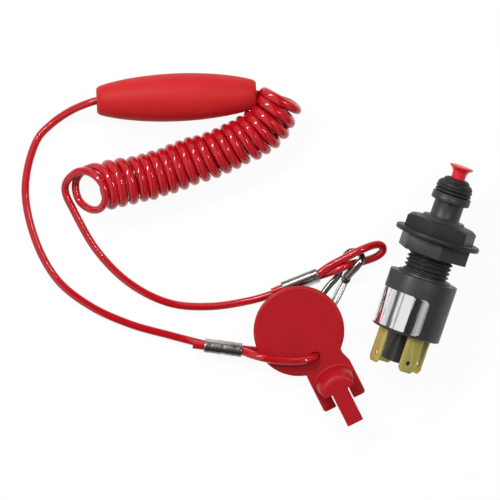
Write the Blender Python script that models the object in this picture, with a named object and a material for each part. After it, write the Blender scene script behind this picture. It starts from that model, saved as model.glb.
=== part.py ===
"""Engine cut-off switch with its key and coiled lanyard, laid out flat.

Metres, +Z up. The switch lies on its flange and the rim of its housing, with its
button towards +Y. The lanyard and the key lie beside it on the same surface.
"""

import math

import bmesh
import bpy
from mathutils import Matrix, Vector

MM = 0.001

# Clearances
GAP = 0.3 * MM  # between pieces that touch, or that turn or slide in one another
BORE_GAP = 0.5 * MM  # round the cord in the float

# Switch housing, measured along its axis from its lower face
HOUSING_DIAMETER = 23.8 * MM
HOUSING_LENGTH = 20.0 * MM
HOUSING_WALL = 1.5 * MM
HOUSING_CEILING = 1.9 * MM
EDGE = 0.5 * MM  # chamfer on moulded rims
BOSS_DIAMETER = 18.4 * MM
BOSS_HEIGHT = 0.8 * MM
THREAD_DIAMETER = 16.0 * MM
THREAD_LENGTH = 21.3 * MM
THREAD_CHAMFER = 0.9 * MM
NECK_DIAMETER = 10.3 * MM
NECK_LENGTH = 5.8 * MM
COLLAR_DIAMETER = 13.5 * MM
COLLAR_LENGTH = 2.7 * MM
SPIGOT_DIAMETER = 8.0 * MM
SPIGOT_LENGTH = 2.8 * MM

# Label wrapped part of the way round the housing
LABEL_THICKNESS = 0.2 * MM
LABEL_PROUD = 0.15 * MM
LABEL_START = 0.9 * MM
LABEL_LENGTH = 12.7 * MM
LABEL_FROM_DEG = -105.0
LABEL_TO_DEG = 23.6

# Mounting nuts
NUT_ACROSS_FLATS = 22.0 * MM
NUT_CHAMFER = 1.1 * MM
REAR_NUT_STATION = 28.1 * MM
REAR_NUT_HEIGHT = 5.1 * MM
REAR_NUT_TURN_DEG = 12.0
FRONT_NUT_HEIGHT = 4.8 * MM
FRONT_NUT_TURN_DEG = 46.0
FLANGE_DIAMETER = 29.6 * MM
FLANGE_THICKNESS = 1.7 * MM
FLANGE_EDGE = 0.4 * MM

# Rubber boot and button
BOOT_DIAMETER = 12.6 * MM
BOOT_BEAD = 3.0 * MM
BOOT_GROOVE = 0.5 * MM
BOOT_HEIGHT = 5.5 * MM
BOOT_MOUTH_WALL = 1.0 * MM
BUTTON_STEM_DIAMETER = 4.9 * MM
BUTTON_HEAD_DIAMETER = 8.3 * MM
BUTTON_EXPOSED = 4.6 * MM
BUTTON_FLARE = 2.0 * MM
BUTTON_RIM = 0.4 * MM
BUTTON_SOCKET_DEPTH = 4.6 * MM

# Switch mechanism inside the housing
PLUNGER_DIAMETER = 4.2 * MM
PLUNGER_TIP_DIAMETER = 2.4 * MM
CARRIER_DIAMETER = 15.6 * MM
CARRIER_THICKNESS = 2.0 * MM
BRIDGE_LENGTH = 15.0 * MM
BRIDGE_WIDTH = 2.6 * MM
BRIDGE_THICKNESS = 0.8 * MM
SPRING_WIRE = 0.7 * MM
SPRING_DIAMETER = 7.2 * MM
SPRING_TURNS = 3.5

# Terminals and the base that carries them
BASE_THICKNESS = 4.0 * MM
BLADE_RADIUS = HOUSING_DIAMETER / 2 - HOUSING_WALL - 2.1 * MM
POST_SIDE = BLADE_RADIUS
POST_CHAMFER = 0.9 * MM
POST_LENGTH = 10.2 * MM
BLADE_WIDTH = 6.3 * MM
BLADE_THICKNESS = 0.8 * MM
BLADE_LENGTH = 12.2 * MM  # outside the housing
BLADE_FOOT = 3.2 * MM
BLADE_FOOT_STATION = 6.2 * MM
BLADE_TIP_CHAMFER = 1.3 * MM
BLADE_HOLE_DIAMETER = 1.7 * MM
BLADE_HOLE_FROM_TIP = 3.3 * MM
BLADE_ANGLES_DEG = (30.0, 120.0, 210.0, 300.0)

# From the middle of the layout to the middle of the switch and key's box
LAYOUT_SHIFT = (-39.55 * MM, 15.16 * MM, 0.0)

# Where the switch lies: the middle of the housing's lower face, and its heading
SWITCH_PLACE = (52.8 * MM, -28.2 * MM)
SWITCH_HEADING_DEG = 71.2

# Key: a thumb disc, a fork that goes under the button's head, and a hood with a tongue
KEY_PLACE = (19.4 * MM, -25.9 * MM)
KEY_HEADING_DEG = -63.3
KEY_TILT_DEG = 9.0
KEY_PLATE = 2.4 * MM
DISC_DIAMETER = 31.0 * MM
DISC_OFFSET = -3.2 * MM
FORK_REACH = 29.0 * MM
FORK_WIDTH = 15.7 * MM
FORK_CLEARANCE = 0.85 * MM  # each side of the button's stem
FORK_TIP_ROUND = 1.0 * MM
SLOT_STATION = 21.4 * MM
HOOD_HEIGHT = 8.2 * MM  # above the plate
HOOD_WALL = 1.6 * MM
HOOD_BACK = 15.8 * MM
HOOD_MOUTH = 20.4 * MM
HOOD_WIDTH = 13.6 * MM
HOOD_TOP_BACK = 19.5 * MM
HOOD_TOP_MOUTH = 23.8 * MM
HOOD_TOP_WIDTH = 11.3 * MM
TONGUE_REACH = 35.7 * MM
TONGUE_WIDTH = 5.8 * MM
TONGUE_THICKNESS = 2.2 * MM
CORD_HOLE_DIAMETER = 4.4 * MM
CORD_HOLE_PLACE = (10.1 * MM, -1.8 * MM)

# Float
FLOAT_LENGTH = 54.4 * MM
FLOAT_DIAMETER = 16.4 * MM
FLOAT_END_DIAMETER = 9.0 * MM
FLOAT_EDGE = 1.2 * MM
FLOAT_BELLY = 0.8  # exponent of its barrel curve
FLOAT_PLACE = (-25.0 * MM, 51.9 * MM)
FLOAT_HEADING_DEG = 2.4

# Cord
CORD_DIAMETER = 2.7 * MM
CORD_LIFT = 0.02 * MM  # keeps a lying cord's facets out of the surface
CORD_STEP = 9.0 * MM
CORD_TURN_DEG = 26.0
COIL_DIAMETER = 15.2 * MM

# Crimp sleeves: each holds the cord twice, one strand above the other
SLEEVE_LENGTH = 12.9 * MM
SLEEVE_WALL = 0.4 * MM
SLEEVE_LEAN_DEG = 75.0
KEY_SLEEVE_PLACE = (-9.1 * MM, -33.2 * MM)
KEY_SLEEVE_HEADING_DEG = -7.6
HOOK_SLEEVE_PLACE = (17.2 * MM, -10.9 * MM)
HOOK_SLEEVE_HEADING_DEG = 21.6
STUB_LENGTH = 3.9 * MM

# Snap hook
EYE_WIRE = 2.0 * MM
EYE_RADIUS = 3.9 * MM
EYE_PLACE = (34.5 * MM, -4.3 * MM)
EYE_HEIGHT = 2.8 * MM
EYE_HEADING_DEG = -23.0
EYE_TILT_DEG = 27.0
HOOK_WIRE = 2.3 * MM
PIVOT_PLACE = (32.6 * MM, -9.9 * MM)
GATE_LENGTH = 15.6 * MM
GATE_HEADING_DEG = -116.5
GATE_WIDTH = 2.7 * MM
GATE_TIP_WIDTH = 2.0 * MM
GATE_RAIL = 0.9 * MM  # each side of its window
GATE_NECK = 1.8 * MM
GATE_DEPTH = 1.8 * MM
GATE_LOWER_FACE = 0.5 * MM
BARREL_DIAMETER = 2.4 * MM
BARREL_HEIGHT = 1.0 * MM
LUG_DIAMETER = 3.6 * MM
LUG_THICKNESS = 0.6 * MM
PIN_DIAMETER = 0.9 * MM

# Routes chosen by hand: x, y, height of the cord's centre line, in millimetres
KEY_LOOP_ROUTE = [
    (0.5, -35.6, 6.9),
    (4.1, -36.6, 8.6),
    (8.5, -37.4, 8.4),
    (13.6, -37.8, 7.9),
    (19.0, -37.5, 7.4),
    (21.4, -36.8, 6.4),
    (22.4, -36.0, 4.3),
    (21.5, -35.3, 2.2),
    (19.2, -35.0, 1.6),
    (10.2, -34.3, 1.4),
    (3.4, -34.2, 1.5),
]
KEY_SIDE_ROUTE = [
    (-20.4, -30.8, 1.5),
    (-27.2, -29.0, 1.37),
    (-40.8, -25.2, 1.37),
    (-54.4, -19.0, 1.37),
    (-65.5, -10.1, 1.37),
    (-73.2, 4.1, 1.37),
    (-76.4, 21.4, 1.37),
    (-72.4, 37.4, 1.6),
    (-67.3, 43.0, 2.3),
    (-61.2, 47.2, 4.3),
    (-56.6, 49.3, 6.8),
]
INTO_COIL_ROUTE = [
    (4.6, 53.6, 8.2),
    (7.0, 53.5, 8.3),
    (9.2, 50.9, 8.6),
]
HOOK_SIDE_ROUTE = [
    (-60.0, 24.4, 9.4),
    (-61.6, 24.2, 8.2),
    (-62.8, 22.3, 5.2),
    (-62.4, 18.6, 2.2),
    (-60.4, 14.3, 1.5),
    (-52.2, 0.0, 1.37),
    (-40.8, -11.4, 1.37),
    (-27.2, -18.1, 1.37),
    (-13.6, -19.2, 1.37),
    (0.0, -17.2, 1.37),
    (6.1, -15.5, 1.6),
]
HOOK_LOOP_ROUTE = [
    (27.2, -8.1, 3.7),
    (30.8, -6.9, 5.0),
    (33.0, -5.6, 4.5),
    (35.3, -4.7, 2.5),
    (37.4, -4.4, 1.45),
    (40.0, -3.8, 1.37),
    (42.4, -2.8, 1.37),
    (44.6, -1.2, 1.37),
    (45.4, 0.3, 1.6),
    (44.7, 1.5, 2.3),
    (42.8, 1.8, 3.5),
    (39.8, 0.9, 5.4),
    (36.4, -0.6, 6.2),
    (32.3, -2.7, 5.6),
    (27.2, -5.4, 4.8),
]
COIL_ROUTE = [
    (-57.8, 20.2),
    (-45.9, 22.6),
    (-33.3, 25.5),
    (-20.1, 30.1),
    (-8.2, 34.8),
    (2.9, 39.7),
    (7.8, 42.6),
    (10.9, 46.2),
]
HOOK_ROUTE = [
    (32.9, -8.9, 1.4),
    (29.6, -9.2, 1.3),
    (27.0, -12.0, 1.3),
    (23.8, -16.0, 1.3),
    (18.4, -21.2, 1.3),
    (15.8, -26.0, 1.3),
    (18.2, -30.6, 1.3),
    (23.0, -30.0, 1.3),
    (25.6, -24.7, 1.3),
]

ROUND_STEPS = 64
SMALL_STEPS = 24


# Stations along the switch's axis, from the housing's lower face

THREAD_TOP = HOUSING_LENGTH + THREAD_LENGTH
COLLAR_BASE = THREAD_TOP + NECK_LENGTH
COLLAR_TOP = COLLAR_BASE + COLLAR_LENGTH
SPIGOT_TOP = COLLAR_TOP + SPIGOT_LENGTH
BOOT_BASE = COLLAR_TOP + GAP
BOOT_TOP = BOOT_BASE + BOOT_HEIGHT
BUTTON_TOP = BOOT_TOP + BUTTON_EXPOSED
FLANGE_BASE = REAR_NUT_STATION + REAR_NUT_HEIGHT + GAP
CEILING = HOUSING_LENGTH - HOUSING_CEILING
BRIDGE_BASE = BLADE_FOOT_STATION + GAP
CARRIER_BASE = BRIDGE_BASE + BRIDGE_THICKNESS + GAP
CARRIER_TOP = CARRIER_BASE + CARRIER_THICKNESS
PLUNGER_RADIUS = PLUNGER_DIAMETER / 2
CAVITY_RADIUS = HOUSING_DIAMETER / 2 - HOUSING_WALL


def clear_scene():
    for old in list(bpy.data.objects):
        bpy.data.objects.remove(old)


def material(name, colour, roughness, metallic=0.0):
    made = bpy.data.materials.new(name)
    made.use_nodes = True
    shader = made.node_tree.nodes["Principled BSDF"]
    shader.inputs["Base Color"].default_value = (*colour, 1.0)
    shader.inputs["Roughness"].default_value = roughness
    shader.inputs["Metallic"].default_value = metallic
    made.diffuse_color = (*colour, 1.0)
    return made


def add_object(name, data, surface=None, parent=None):
    made = bpy.data.objects.new(name, data)
    bpy.context.scene.collection.objects.link(made)
    made.parent = parent
    if surface is not None:
        data.materials.append(surface)
    return made


def add_empty(name, matrix, parent=None):
    made = add_object(name, None, parent=parent)
    made.matrix_local = matrix
    return made


def mesh_from(bm, name):
    bmesh.ops.remove_doubles(bm, verts=bm.verts, dist=0.001 * MM)
    bmesh.ops.recalc_face_normals(bm, faces=bm.faces)
    mesh = bpy.data.meshes.new(name)
    bm.to_mesh(mesh)
    bm.free()
    mesh.shade_smooth()
    mesh.set_sharp_from_angle(angle=math.radians(32))
    return mesh


def turned(name, profile, steps=ROUND_STEPS):
    """A closed profile of (radius, station) pairs turned about Z."""
    bm = bmesh.new()
    ring = [bm.verts.new((radius, 0, station)) for radius, station in profile]
    pairs = zip(ring, ring[1:] + ring[:1])
    edges = [bm.edges.new((a, b)) for a, b in pairs if a.co.x or b.co.x]
    spun = ring + edges
    bmesh.ops.spin(bm, geom=spun, axis=(0, 0, 1), cent=(0, 0, 0), angle=math.tau, steps=steps, use_merge=True)
    return mesh_from(bm, name)


def extruded(name, outline, low, high):
    """A flat outline of (x, y) pairs raised from one height to another."""
    bm = bmesh.new()
    base = bm.faces.new([bm.verts.new((x, y, low)) for x, y in outline])
    raised = bmesh.ops.extrude_face_region(bm, geom=[base])["geom"]
    tops = [item for item in raised if isinstance(item, bmesh.types.BMVert)]
    bmesh.ops.translate(bm, verts=tops, vec=(0, 0, high - low))
    return mesh_from(bm, name)


def hulled(name, points):
    bm = bmesh.new()
    made = [bm.verts.new(point) for point in points]
    bmesh.ops.convex_hull(bm, input=made)
    return mesh_from(bm, name)


def arc(radius, start, stop, steps, centre=(0, 0)):
    """Points on an arc, with its angles in degrees."""
    turns = [math.radians(start + (stop - start) * i / steps) for i in range(steps + 1)]
    return [(centre[0] + radius * math.cos(t), centre[1] + radius * math.sin(t)) for t in turns]


def combine(target, other, operation):
    """Cuts, joins or trims target with a hidden helper."""
    other.hide_render = True
    other.display_type = "WIRE"
    boolean = target.modifiers.new(other.name, "BOOLEAN")
    boolean.operation = operation
    boolean.solver = "EXACT"
    boolean.object = other


def smooth_route(points, samples=12):
    """A centripetal spline through hand-chosen points, sampled closely."""
    padded = [2 * points[0] - points[1], *points, 2 * points[-1] - points[-2]]
    dense = []
    for span in range(len(points) - 1):
        a, b, c, d = padded[span : span + 4]
        t1 = math.sqrt((b - a).length)
        t2 = t1 + math.sqrt((c - b).length)
        t3 = t2 + math.sqrt((d - c).length)
        for i in range(samples):
            t = t1 + (t2 - t1) * i / samples
            ab = a.lerp(b, t / t1)
            bc = b.lerp(c, (t - t1) / (t2 - t1))
            cd = c.lerp(d, (t - t2) / (t3 - t2))
            abc = ab.lerp(bc, t / t2)
            bcd = bc.lerp(cd, (t - t1) / (t3 - t1))
            dense.append(abc.lerp(bcd, (t - t1) / (t2 - t1)))
    return [*dense, points[-1].copy()]


def thin_out(dense, step, turn_deg):
    """Keeps a point every step, or sooner where the route bends by turn_deg."""
    kept = [dense[0]]
    heading = (dense[1] - dense[0]).normalized()
    travelled = 0.0
    for before, here, after in zip(dense, dense[1:], dense[2:]):
        travelled += (here - before).length
        ahead = (after - here).normalized()
        if travelled >= step or math.degrees(heading.angle(ahead)) >= turn_deg:
            kept.append(here)
            heading = ahead
            travelled = 0.0
    kept.append(dense[-1])
    return kept


def tube(name, points, diameter, surface, sides_resolution=2):
    curve = bpy.data.curves.new(name, "CURVE")
    curve.dimensions = "3D"
    curve.bevel_depth = diameter / 2
    curve.bevel_resolution = sides_resolution
    curve.use_fill_caps = True
    spline = curve.splines.new("POLY")
    spline.points.add(len(points) - 1)
    for target, point in zip(spline.points, points):
        target.co = (*point, 1.0)
    return add_object(name, curve, surface)


def in_metres(route):
    return [Vector(point) * MM for point in route]


def heading_frame(place, heading_deg, height, tilt_deg=0.0):
    """X runs along the heading and rises by the tilt, Z is its upper side."""
    turn = Matrix.Rotation(math.radians(heading_deg), 4, "Z")
    rise = Matrix.Rotation(-math.radians(tilt_deg), 4, "Y")
    return Matrix.Translation((*place, height)) @ turn @ rise


# Switch


def switch_frame():
    """Z runs up the switch's axis, X is the side seen from above."""
    flange_low = FLANGE_BASE + FLANGE_EDGE
    lift = math.atan((FLANGE_DIAMETER - HOUSING_DIAMETER) / 2 / (flange_low - EDGE))
    axis_height = HOUSING_DIAMETER / 2 * math.cos(lift) - EDGE * math.sin(lift)
    flat = math.radians(SWITCH_HEADING_DEG)
    along = Vector((math.cos(flat) * math.cos(lift), math.sin(flat) * math.cos(lift), math.sin(lift)))
    side = along.cross(Vector((0, 0, 1))).normalized()
    upper = side.cross(along)
    turn = Matrix((upper, side, along)).transposed().to_4x4()
    return Matrix.Translation((*SWITCH_PLACE, axis_height)) @ turn


def housing(parent, surface):
    outer = HOUSING_DIAMETER / 2
    thread = THREAD_DIAMETER / 2
    neck = NECK_DIAMETER / 2
    collar = COLLAR_DIAMETER / 2
    spigot = SPIGOT_DIAMETER / 2
    bore = PLUNGER_RADIUS + GAP
    profile = [
        (CAVITY_RADIUS, 0),
        (outer - EDGE, 0),
        (outer, EDGE),
        (outer, HOUSING_LENGTH - EDGE),
        (outer - EDGE, HOUSING_LENGTH),
        (BOSS_DIAMETER / 2, HOUSING_LENGTH),
        (BOSS_DIAMETER / 2, HOUSING_LENGTH + BOSS_HEIGHT),
        (thread, HOUSING_LENGTH + BOSS_HEIGHT),
        (thread, THREAD_TOP - THREAD_CHAMFER),
        (thread - THREAD_CHAMFER, THREAD_TOP),
        (neck + EDGE, THREAD_TOP),
        (neck, THREAD_TOP + EDGE),
        (neck, COLLAR_BASE),
        (collar - EDGE, COLLAR_BASE),
        (collar, COLLAR_BASE + EDGE),
        (collar, COLLAR_TOP),
        (spigot, COLLAR_TOP),
        (spigot, SPIGOT_TOP),
        (bore, SPIGOT_TOP),
        (bore, CEILING),
        (CAVITY_RADIUS, CEILING),
    ]
    body = add_object("housing", turned("housing", profile), surface, parent)
    recess = label_shell("label_recess", outer - LABEL_THICKNESS - GAP + LABEL_PROUD, outer + EDGE, GAP)
    combine(body, add_object("label_recess", recess, parent=parent), "DIFFERENCE")


def label_shell(name, inner, outer, margin):
    """A sector of a tube over the label's place, larger all round by the margin."""
    spread = math.degrees(margin / inner)
    start = LABEL_FROM_DEG - spread
    stop = LABEL_TO_DEG + spread
    steps = 22
    outline = arc(outer, start, stop, steps) + arc(inner, stop, start, steps)
    return extruded(name, outline, LABEL_START - margin, LABEL_START + LABEL_LENGTH + margin)


def label(parent, surface):
    outer = HOUSING_DIAMETER / 2 + LABEL_PROUD
    add_object("label", label_shell("label", outer - LABEL_THICKNESS, outer, 0.0), surface, parent)


def hexagon(across_flats, turn_deg):
    return arc(across_flats / math.sqrt(3), turn_deg, turn_deg + 300, 5)


def hex_blank(name, low, high, turn_deg, parent, surface=None):
    return add_object(name, extruded(name, hexagon(NUT_ACROSS_FLATS, turn_deg), low, high), surface, parent)


def bore_through(target, name, radius, low, high, parent, steps=48):
    profile = [(0, low), (radius, low), (radius, high), (0, high)]
    combine(target, add_object(name, turned(name, profile, steps), parent=parent), "DIFFERENCE")


def nuts(parent, surface):
    bore = THREAD_DIAMETER / 2 + GAP
    rear_top = REAR_NUT_STATION + REAR_NUT_HEIGHT
    rear = hex_blank("rear_nut", REAR_NUT_STATION, rear_top, REAR_NUT_TURN_DEG, parent, surface)
    bore_through(rear, "rear_nut_bore", bore, REAR_NUT_STATION - GAP, rear_top + GAP, parent)
    hex_base = FLANGE_BASE + FLANGE_THICKNESS
    front_top = hex_base + FRONT_NUT_HEIGHT
    rim = FLANGE_DIAMETER / 2
    flange_profile = [
        (0, FLANGE_BASE),
        (rim - FLANGE_EDGE, FLANGE_BASE),
        (rim, FLANGE_BASE + FLANGE_EDGE),
        (rim, hex_base - FLANGE_EDGE),
        (rim - FLANGE_EDGE, hex_base),
        (0, hex_base),
    ]
    front = add_object("front_nut", turned("front_nut", flange_profile), surface, parent)
    hex_low = hex_base - FLANGE_EDGE
    top = hex_blank("front_nut_hex", hex_low, front_top, FRONT_NUT_TURN_DEG, parent)
    corner = NUT_ACROSS_FLATS / math.sqrt(3) + GAP
    flat = corner - 2 * NUT_CHAMFER
    slope = NUT_CHAMFER * math.tan(math.radians(30)) * 2
    turned_down = [(0, hex_low), (corner, hex_low), (corner, front_top - slope)]
    turned_down += [(flat, front_top), (0, front_top)]
    cone = turned("front_nut_corners", turned_down, 48)
    combine(top, add_object("front_nut_corners", cone, parent=parent), "INTERSECT")
    combine(front, top, "UNION")
    bore_through(front, "front_nut_bore", bore, FLANGE_BASE - GAP, front_top + GAP, parent)


def boot(parent, surface):
    outer = BOOT_DIAMETER / 2
    seat = SPIGOT_DIAMETER / 2 + GAP
    mouth = BUTTON_STEM_DIAMETER / 2 + GAP
    dome_base = BOOT_BASE + BOOT_BEAD
    dome_height = BOOT_TOP - dome_base
    dome_run = outer - mouth - BOOT_MOUTH_WALL
    dome = [
        (mouth + BOOT_MOUTH_WALL + dome_run * math.cos(t), dome_base + dome_height * math.sin(t))
        for t in (math.radians(15 * i) for i in range(7))
    ]
    profile = [
        (seat, BOOT_BASE),
        (outer - EDGE, BOOT_BASE),
        (outer, BOOT_BASE + EDGE),
        (outer - BOOT_GROOVE, BOOT_BASE + BOOT_BEAD / 3),
        (outer, BOOT_BASE + BOOT_BEAD / 3 + EDGE),
        *dome,
        (mouth, BOOT_TOP),
        (mouth, SPIGOT_TOP + BOOT_MOUTH_WALL),
        (seat, SPIGOT_TOP + GAP),
    ]
    add_object("boot", turned("boot", profile, 36), surface, parent)


def button(parent, surface):
    stem = BUTTON_STEM_DIAMETER / 2
    head = BUTTON_HEAD_DIAMETER / 2
    socket = PLUNGER_TIP_DIAMETER / 2 + GAP
    low = SPIGOT_TOP + GAP
    flare_top = BUTTON_TOP - BUTTON_RIM
    flare_base = flare_top - BUTTON_FLARE
    flare = [
        (head - (head - stem) * math.cos(t), flare_base + BUTTON_FLARE * math.sin(t))
        for t in (math.radians(18 * i) for i in range(6))
    ]
    profile = [
        (socket, low),
        (stem, low),
        *flare,
        (head, BUTTON_TOP - EDGE / 2),
        (head - EDGE / 2, BUTTON_TOP),
        (0, BUTTON_TOP),
        (0, low + BUTTON_SOCKET_DEPTH),
        (socket, low + BUTTON_SOCKET_DEPTH),
    ]
    add_object("button", turned("button", profile, 36), surface, parent)


def plunger(parent, surface):
    """Shaft from the contact carrier up through the stem, with a tip in the button."""
    low = SPIGOT_TOP + GAP
    tip = PLUNGER_TIP_DIAMETER / 2
    carrier = CARRIER_DIAMETER / 2
    profile = [
        (0, CARRIER_BASE),
        (carrier, CARRIER_BASE),
        (carrier, CARRIER_TOP),
        (PLUNGER_RADIUS, CARRIER_TOP),
        (PLUNGER_RADIUS, low - GAP),
        (tip, low - GAP),
        (tip, low + BUTTON_SOCKET_DEPTH - GAP),
        (0, low + BUTTON_SOCKET_DEPTH - GAP),
    ]
    add_object("plunger", turned("plunger", profile, 32), surface, parent)


def contact_bridges(parent, surface):
    """Two bars under the carrier, each over the feet of two neighbouring terminals."""
    pair_angle = (BLADE_ANGLES_DEG[0] + BLADE_ANGLES_DEG[1]) / 2
    reach = (BLADE_RADIUS - BLADE_FOOT / 2) / math.sqrt(2)
    half = BRIDGE_LENGTH / 2
    for number, angle in enumerate((pair_angle, pair_angle + 180), 1):
        inner = reach - BRIDGE_WIDTH / 2
        outer = reach + BRIDGE_WIDTH / 2
        outline = [(inner, -half + BRIDGE_WIDTH), (outer, -half + 2 * BRIDGE_WIDTH)]
        outline += [(outer, half - 2 * BRIDGE_WIDTH), (inner, half - BRIDGE_WIDTH)]
        name = f"contact_bridge_{number}"
        mesh = extruded(name, outline, BRIDGE_BASE, BRIDGE_BASE + BRIDGE_THICKNESS)
        bar = add_object(name, mesh, surface, parent)
        bar.rotation_euler.z = math.radians(angle)


def return_spring(parent, surface):
    low = CARRIER_TOP + SPRING_WIRE / 2 + GAP
    high = CEILING - SPRING_WIRE / 2 - GAP
    mean = (SPRING_DIAMETER - SPRING_WIRE) / 2
    steps = int(SPRING_TURNS * 16)
    helix = [
        Vector((mean * math.cos(t), mean * math.sin(t), low + (high - low) * i / steps))
        for i, t in ((i, math.tau * SPRING_TURNS * i / steps) for i in range(steps + 1))
    ]
    coil = tube("return_spring", helix, SPRING_WIRE, surface, 1)
    coil.parent = parent


def terminal_base(parent, surface):
    """Round plug flush with the housing, with a square post between the terminals."""
    rim = CAVITY_RADIUS - GAP
    profile = [(0, 0), (rim - EDGE, 0), (rim, EDGE), (rim, BASE_THICKNESS), (0, BASE_THICKNESS)]
    plug = add_object("terminal_base", turned("terminal_base", profile, 48), surface, parent)
    half = POST_SIDE / 2
    short = half - POST_CHAMFER
    outline = [(half, -short), (half, short), (short, half), (-short, half)]
    outline += [(-half, short), (-half, -short), (-short, -half), (short, -half)]
    turn = math.radians(BLADE_ANGLES_DEG[0])
    post = add_object("post", extruded("post", outline, -POST_LENGTH, BASE_THICKNESS / 2), parent=parent)
    post.rotation_euler.z = turn
    combine(plug, post, "UNION")
    slot_half = BLADE_WIDTH / 2 + GAP
    slot_deep = BLADE_THICKNESS / 2 + GAP
    slot_inner = BLADE_RADIUS - slot_deep
    slot_outer = BLADE_RADIUS + slot_deep
    slot_outline = [(slot_inner, -slot_half), (slot_outer, -slot_half)]
    slot_outline += [(slot_outer, slot_half), (slot_inner, slot_half)]
    for number, angle in enumerate(BLADE_ANGLES_DEG, 1):
        name = f"terminal_slot_{number}"
        slot = add_object(name, extruded(name, slot_outline, -EDGE, BASE_THICKNESS + EDGE), parent=parent)
        slot.rotation_euler.z = math.radians(angle)
        combine(plug, slot, "DIFFERENCE")


def terminals(parent, surface):
    """Flat blades with chamfered tips, a small hole, and a foot turned in at the top."""
    half = BLADE_WIDTH / 2
    tip = half - BLADE_TIP_CHAMFER
    deep = BLADE_THICKNESS / 2
    flat_outline = [
        (-tip, -BLADE_LENGTH),
        (tip, -BLADE_LENGTH),
        (half, -BLADE_LENGTH + BLADE_TIP_CHAMFER),
        (half, BLADE_FOOT_STATION),
        (-half, BLADE_FOOT_STATION),
        (-half, -BLADE_LENGTH + BLADE_TIP_CHAMFER),
    ]
    stand = Matrix(((0, 0, 1, BLADE_RADIUS), (1, 0, 0, 0), (0, 1, 0, 0), (0, 0, 0, 1)))
    for number, angle in enumerate(BLADE_ANGLES_DEG, 1):
        name = f"terminal_{number}"
        frame = add_empty(name + "_frame", Matrix.Rotation(math.radians(angle), 4, "Z") @ stand, parent)
        blade = add_object(name, extruded(name, flat_outline, -deep, deep), surface, frame)
        foot_low = BLADE_FOOT_STATION - BLADE_THICKNESS
        foot_outline = [(-half, foot_low), (half, foot_low)]
        foot_outline += [(half, BLADE_FOOT_STATION), (-half, BLADE_FOOT_STATION)]
        foot = extruded(name + "_foot", foot_outline, -BLADE_FOOT, deep)
        combine(blade, add_object(name + "_foot", foot, parent=frame), "UNION")
        hole_mesh = turned(name + "_hole", pin_profile(BLADE_HOLE_DIAMETER / 2, deep + GAP), 16)
        hole = add_object(name + "_hole", hole_mesh, parent=frame)
        hole.location.y = -BLADE_LENGTH + BLADE_HOLE_FROM_TIP
        combine(blade, hole, "DIFFERENCE")


def pin_profile(radius, half_length):
    return [(0, -half_length), (radius, -half_length), (radius, half_length), (0, half_length)]


def make_switch(surfaces):
    axis = add_empty("switch_axis", switch_frame())
    housing(axis, surfaces["black_plastic"])
    label(axis, surfaces["foil"])
    nuts(axis, surfaces["grey_plastic"])
    boot(axis, surfaces["black_rubber"])
    button(axis, surfaces["red_button"])
    plunger(axis, surfaces["black_plastic"])
    contact_bridges(axis, surfaces["brass"])
    return_spring(axis, surfaces["steel"])
    terminal_base(axis, surfaces["black_plastic"])
    terminals(axis, surfaces["brass"])


# Key


def hood_outline(back, mouth, width):
    """Half an ellipse at the back, open at the mouth."""
    half = width / 2
    depth = mouth - back
    turns = [math.radians(15 * i) for i in range(13)]
    return [(mouth - depth * math.sin(t), half * math.cos(t)) for t in turns]


def hood_solid(name, low, high, inset, reach):
    """The hood between two heights, domed to its flat top; the cavity is the same form, inset."""
    base = hood_outline(HOOD_BACK + inset, HOOD_MOUTH + reach, HOOD_WIDTH - 2 * inset)
    top = hood_outline(HOOD_TOP_BACK + inset, HOOD_TOP_MOUTH + reach, HOOD_TOP_WIDTH - 2 * inset)
    points = []
    for rise in (0, 0.4, 0.7, 0.9, 1):
        drawn_in = 1 - math.sqrt(1 - rise * rise)
        height = low + (high - low) * rise
        points += [(*Vector(a).lerp(Vector(b), drawn_in), height) for a, b in zip(base, top)]
    return hulled(name, points)


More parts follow.
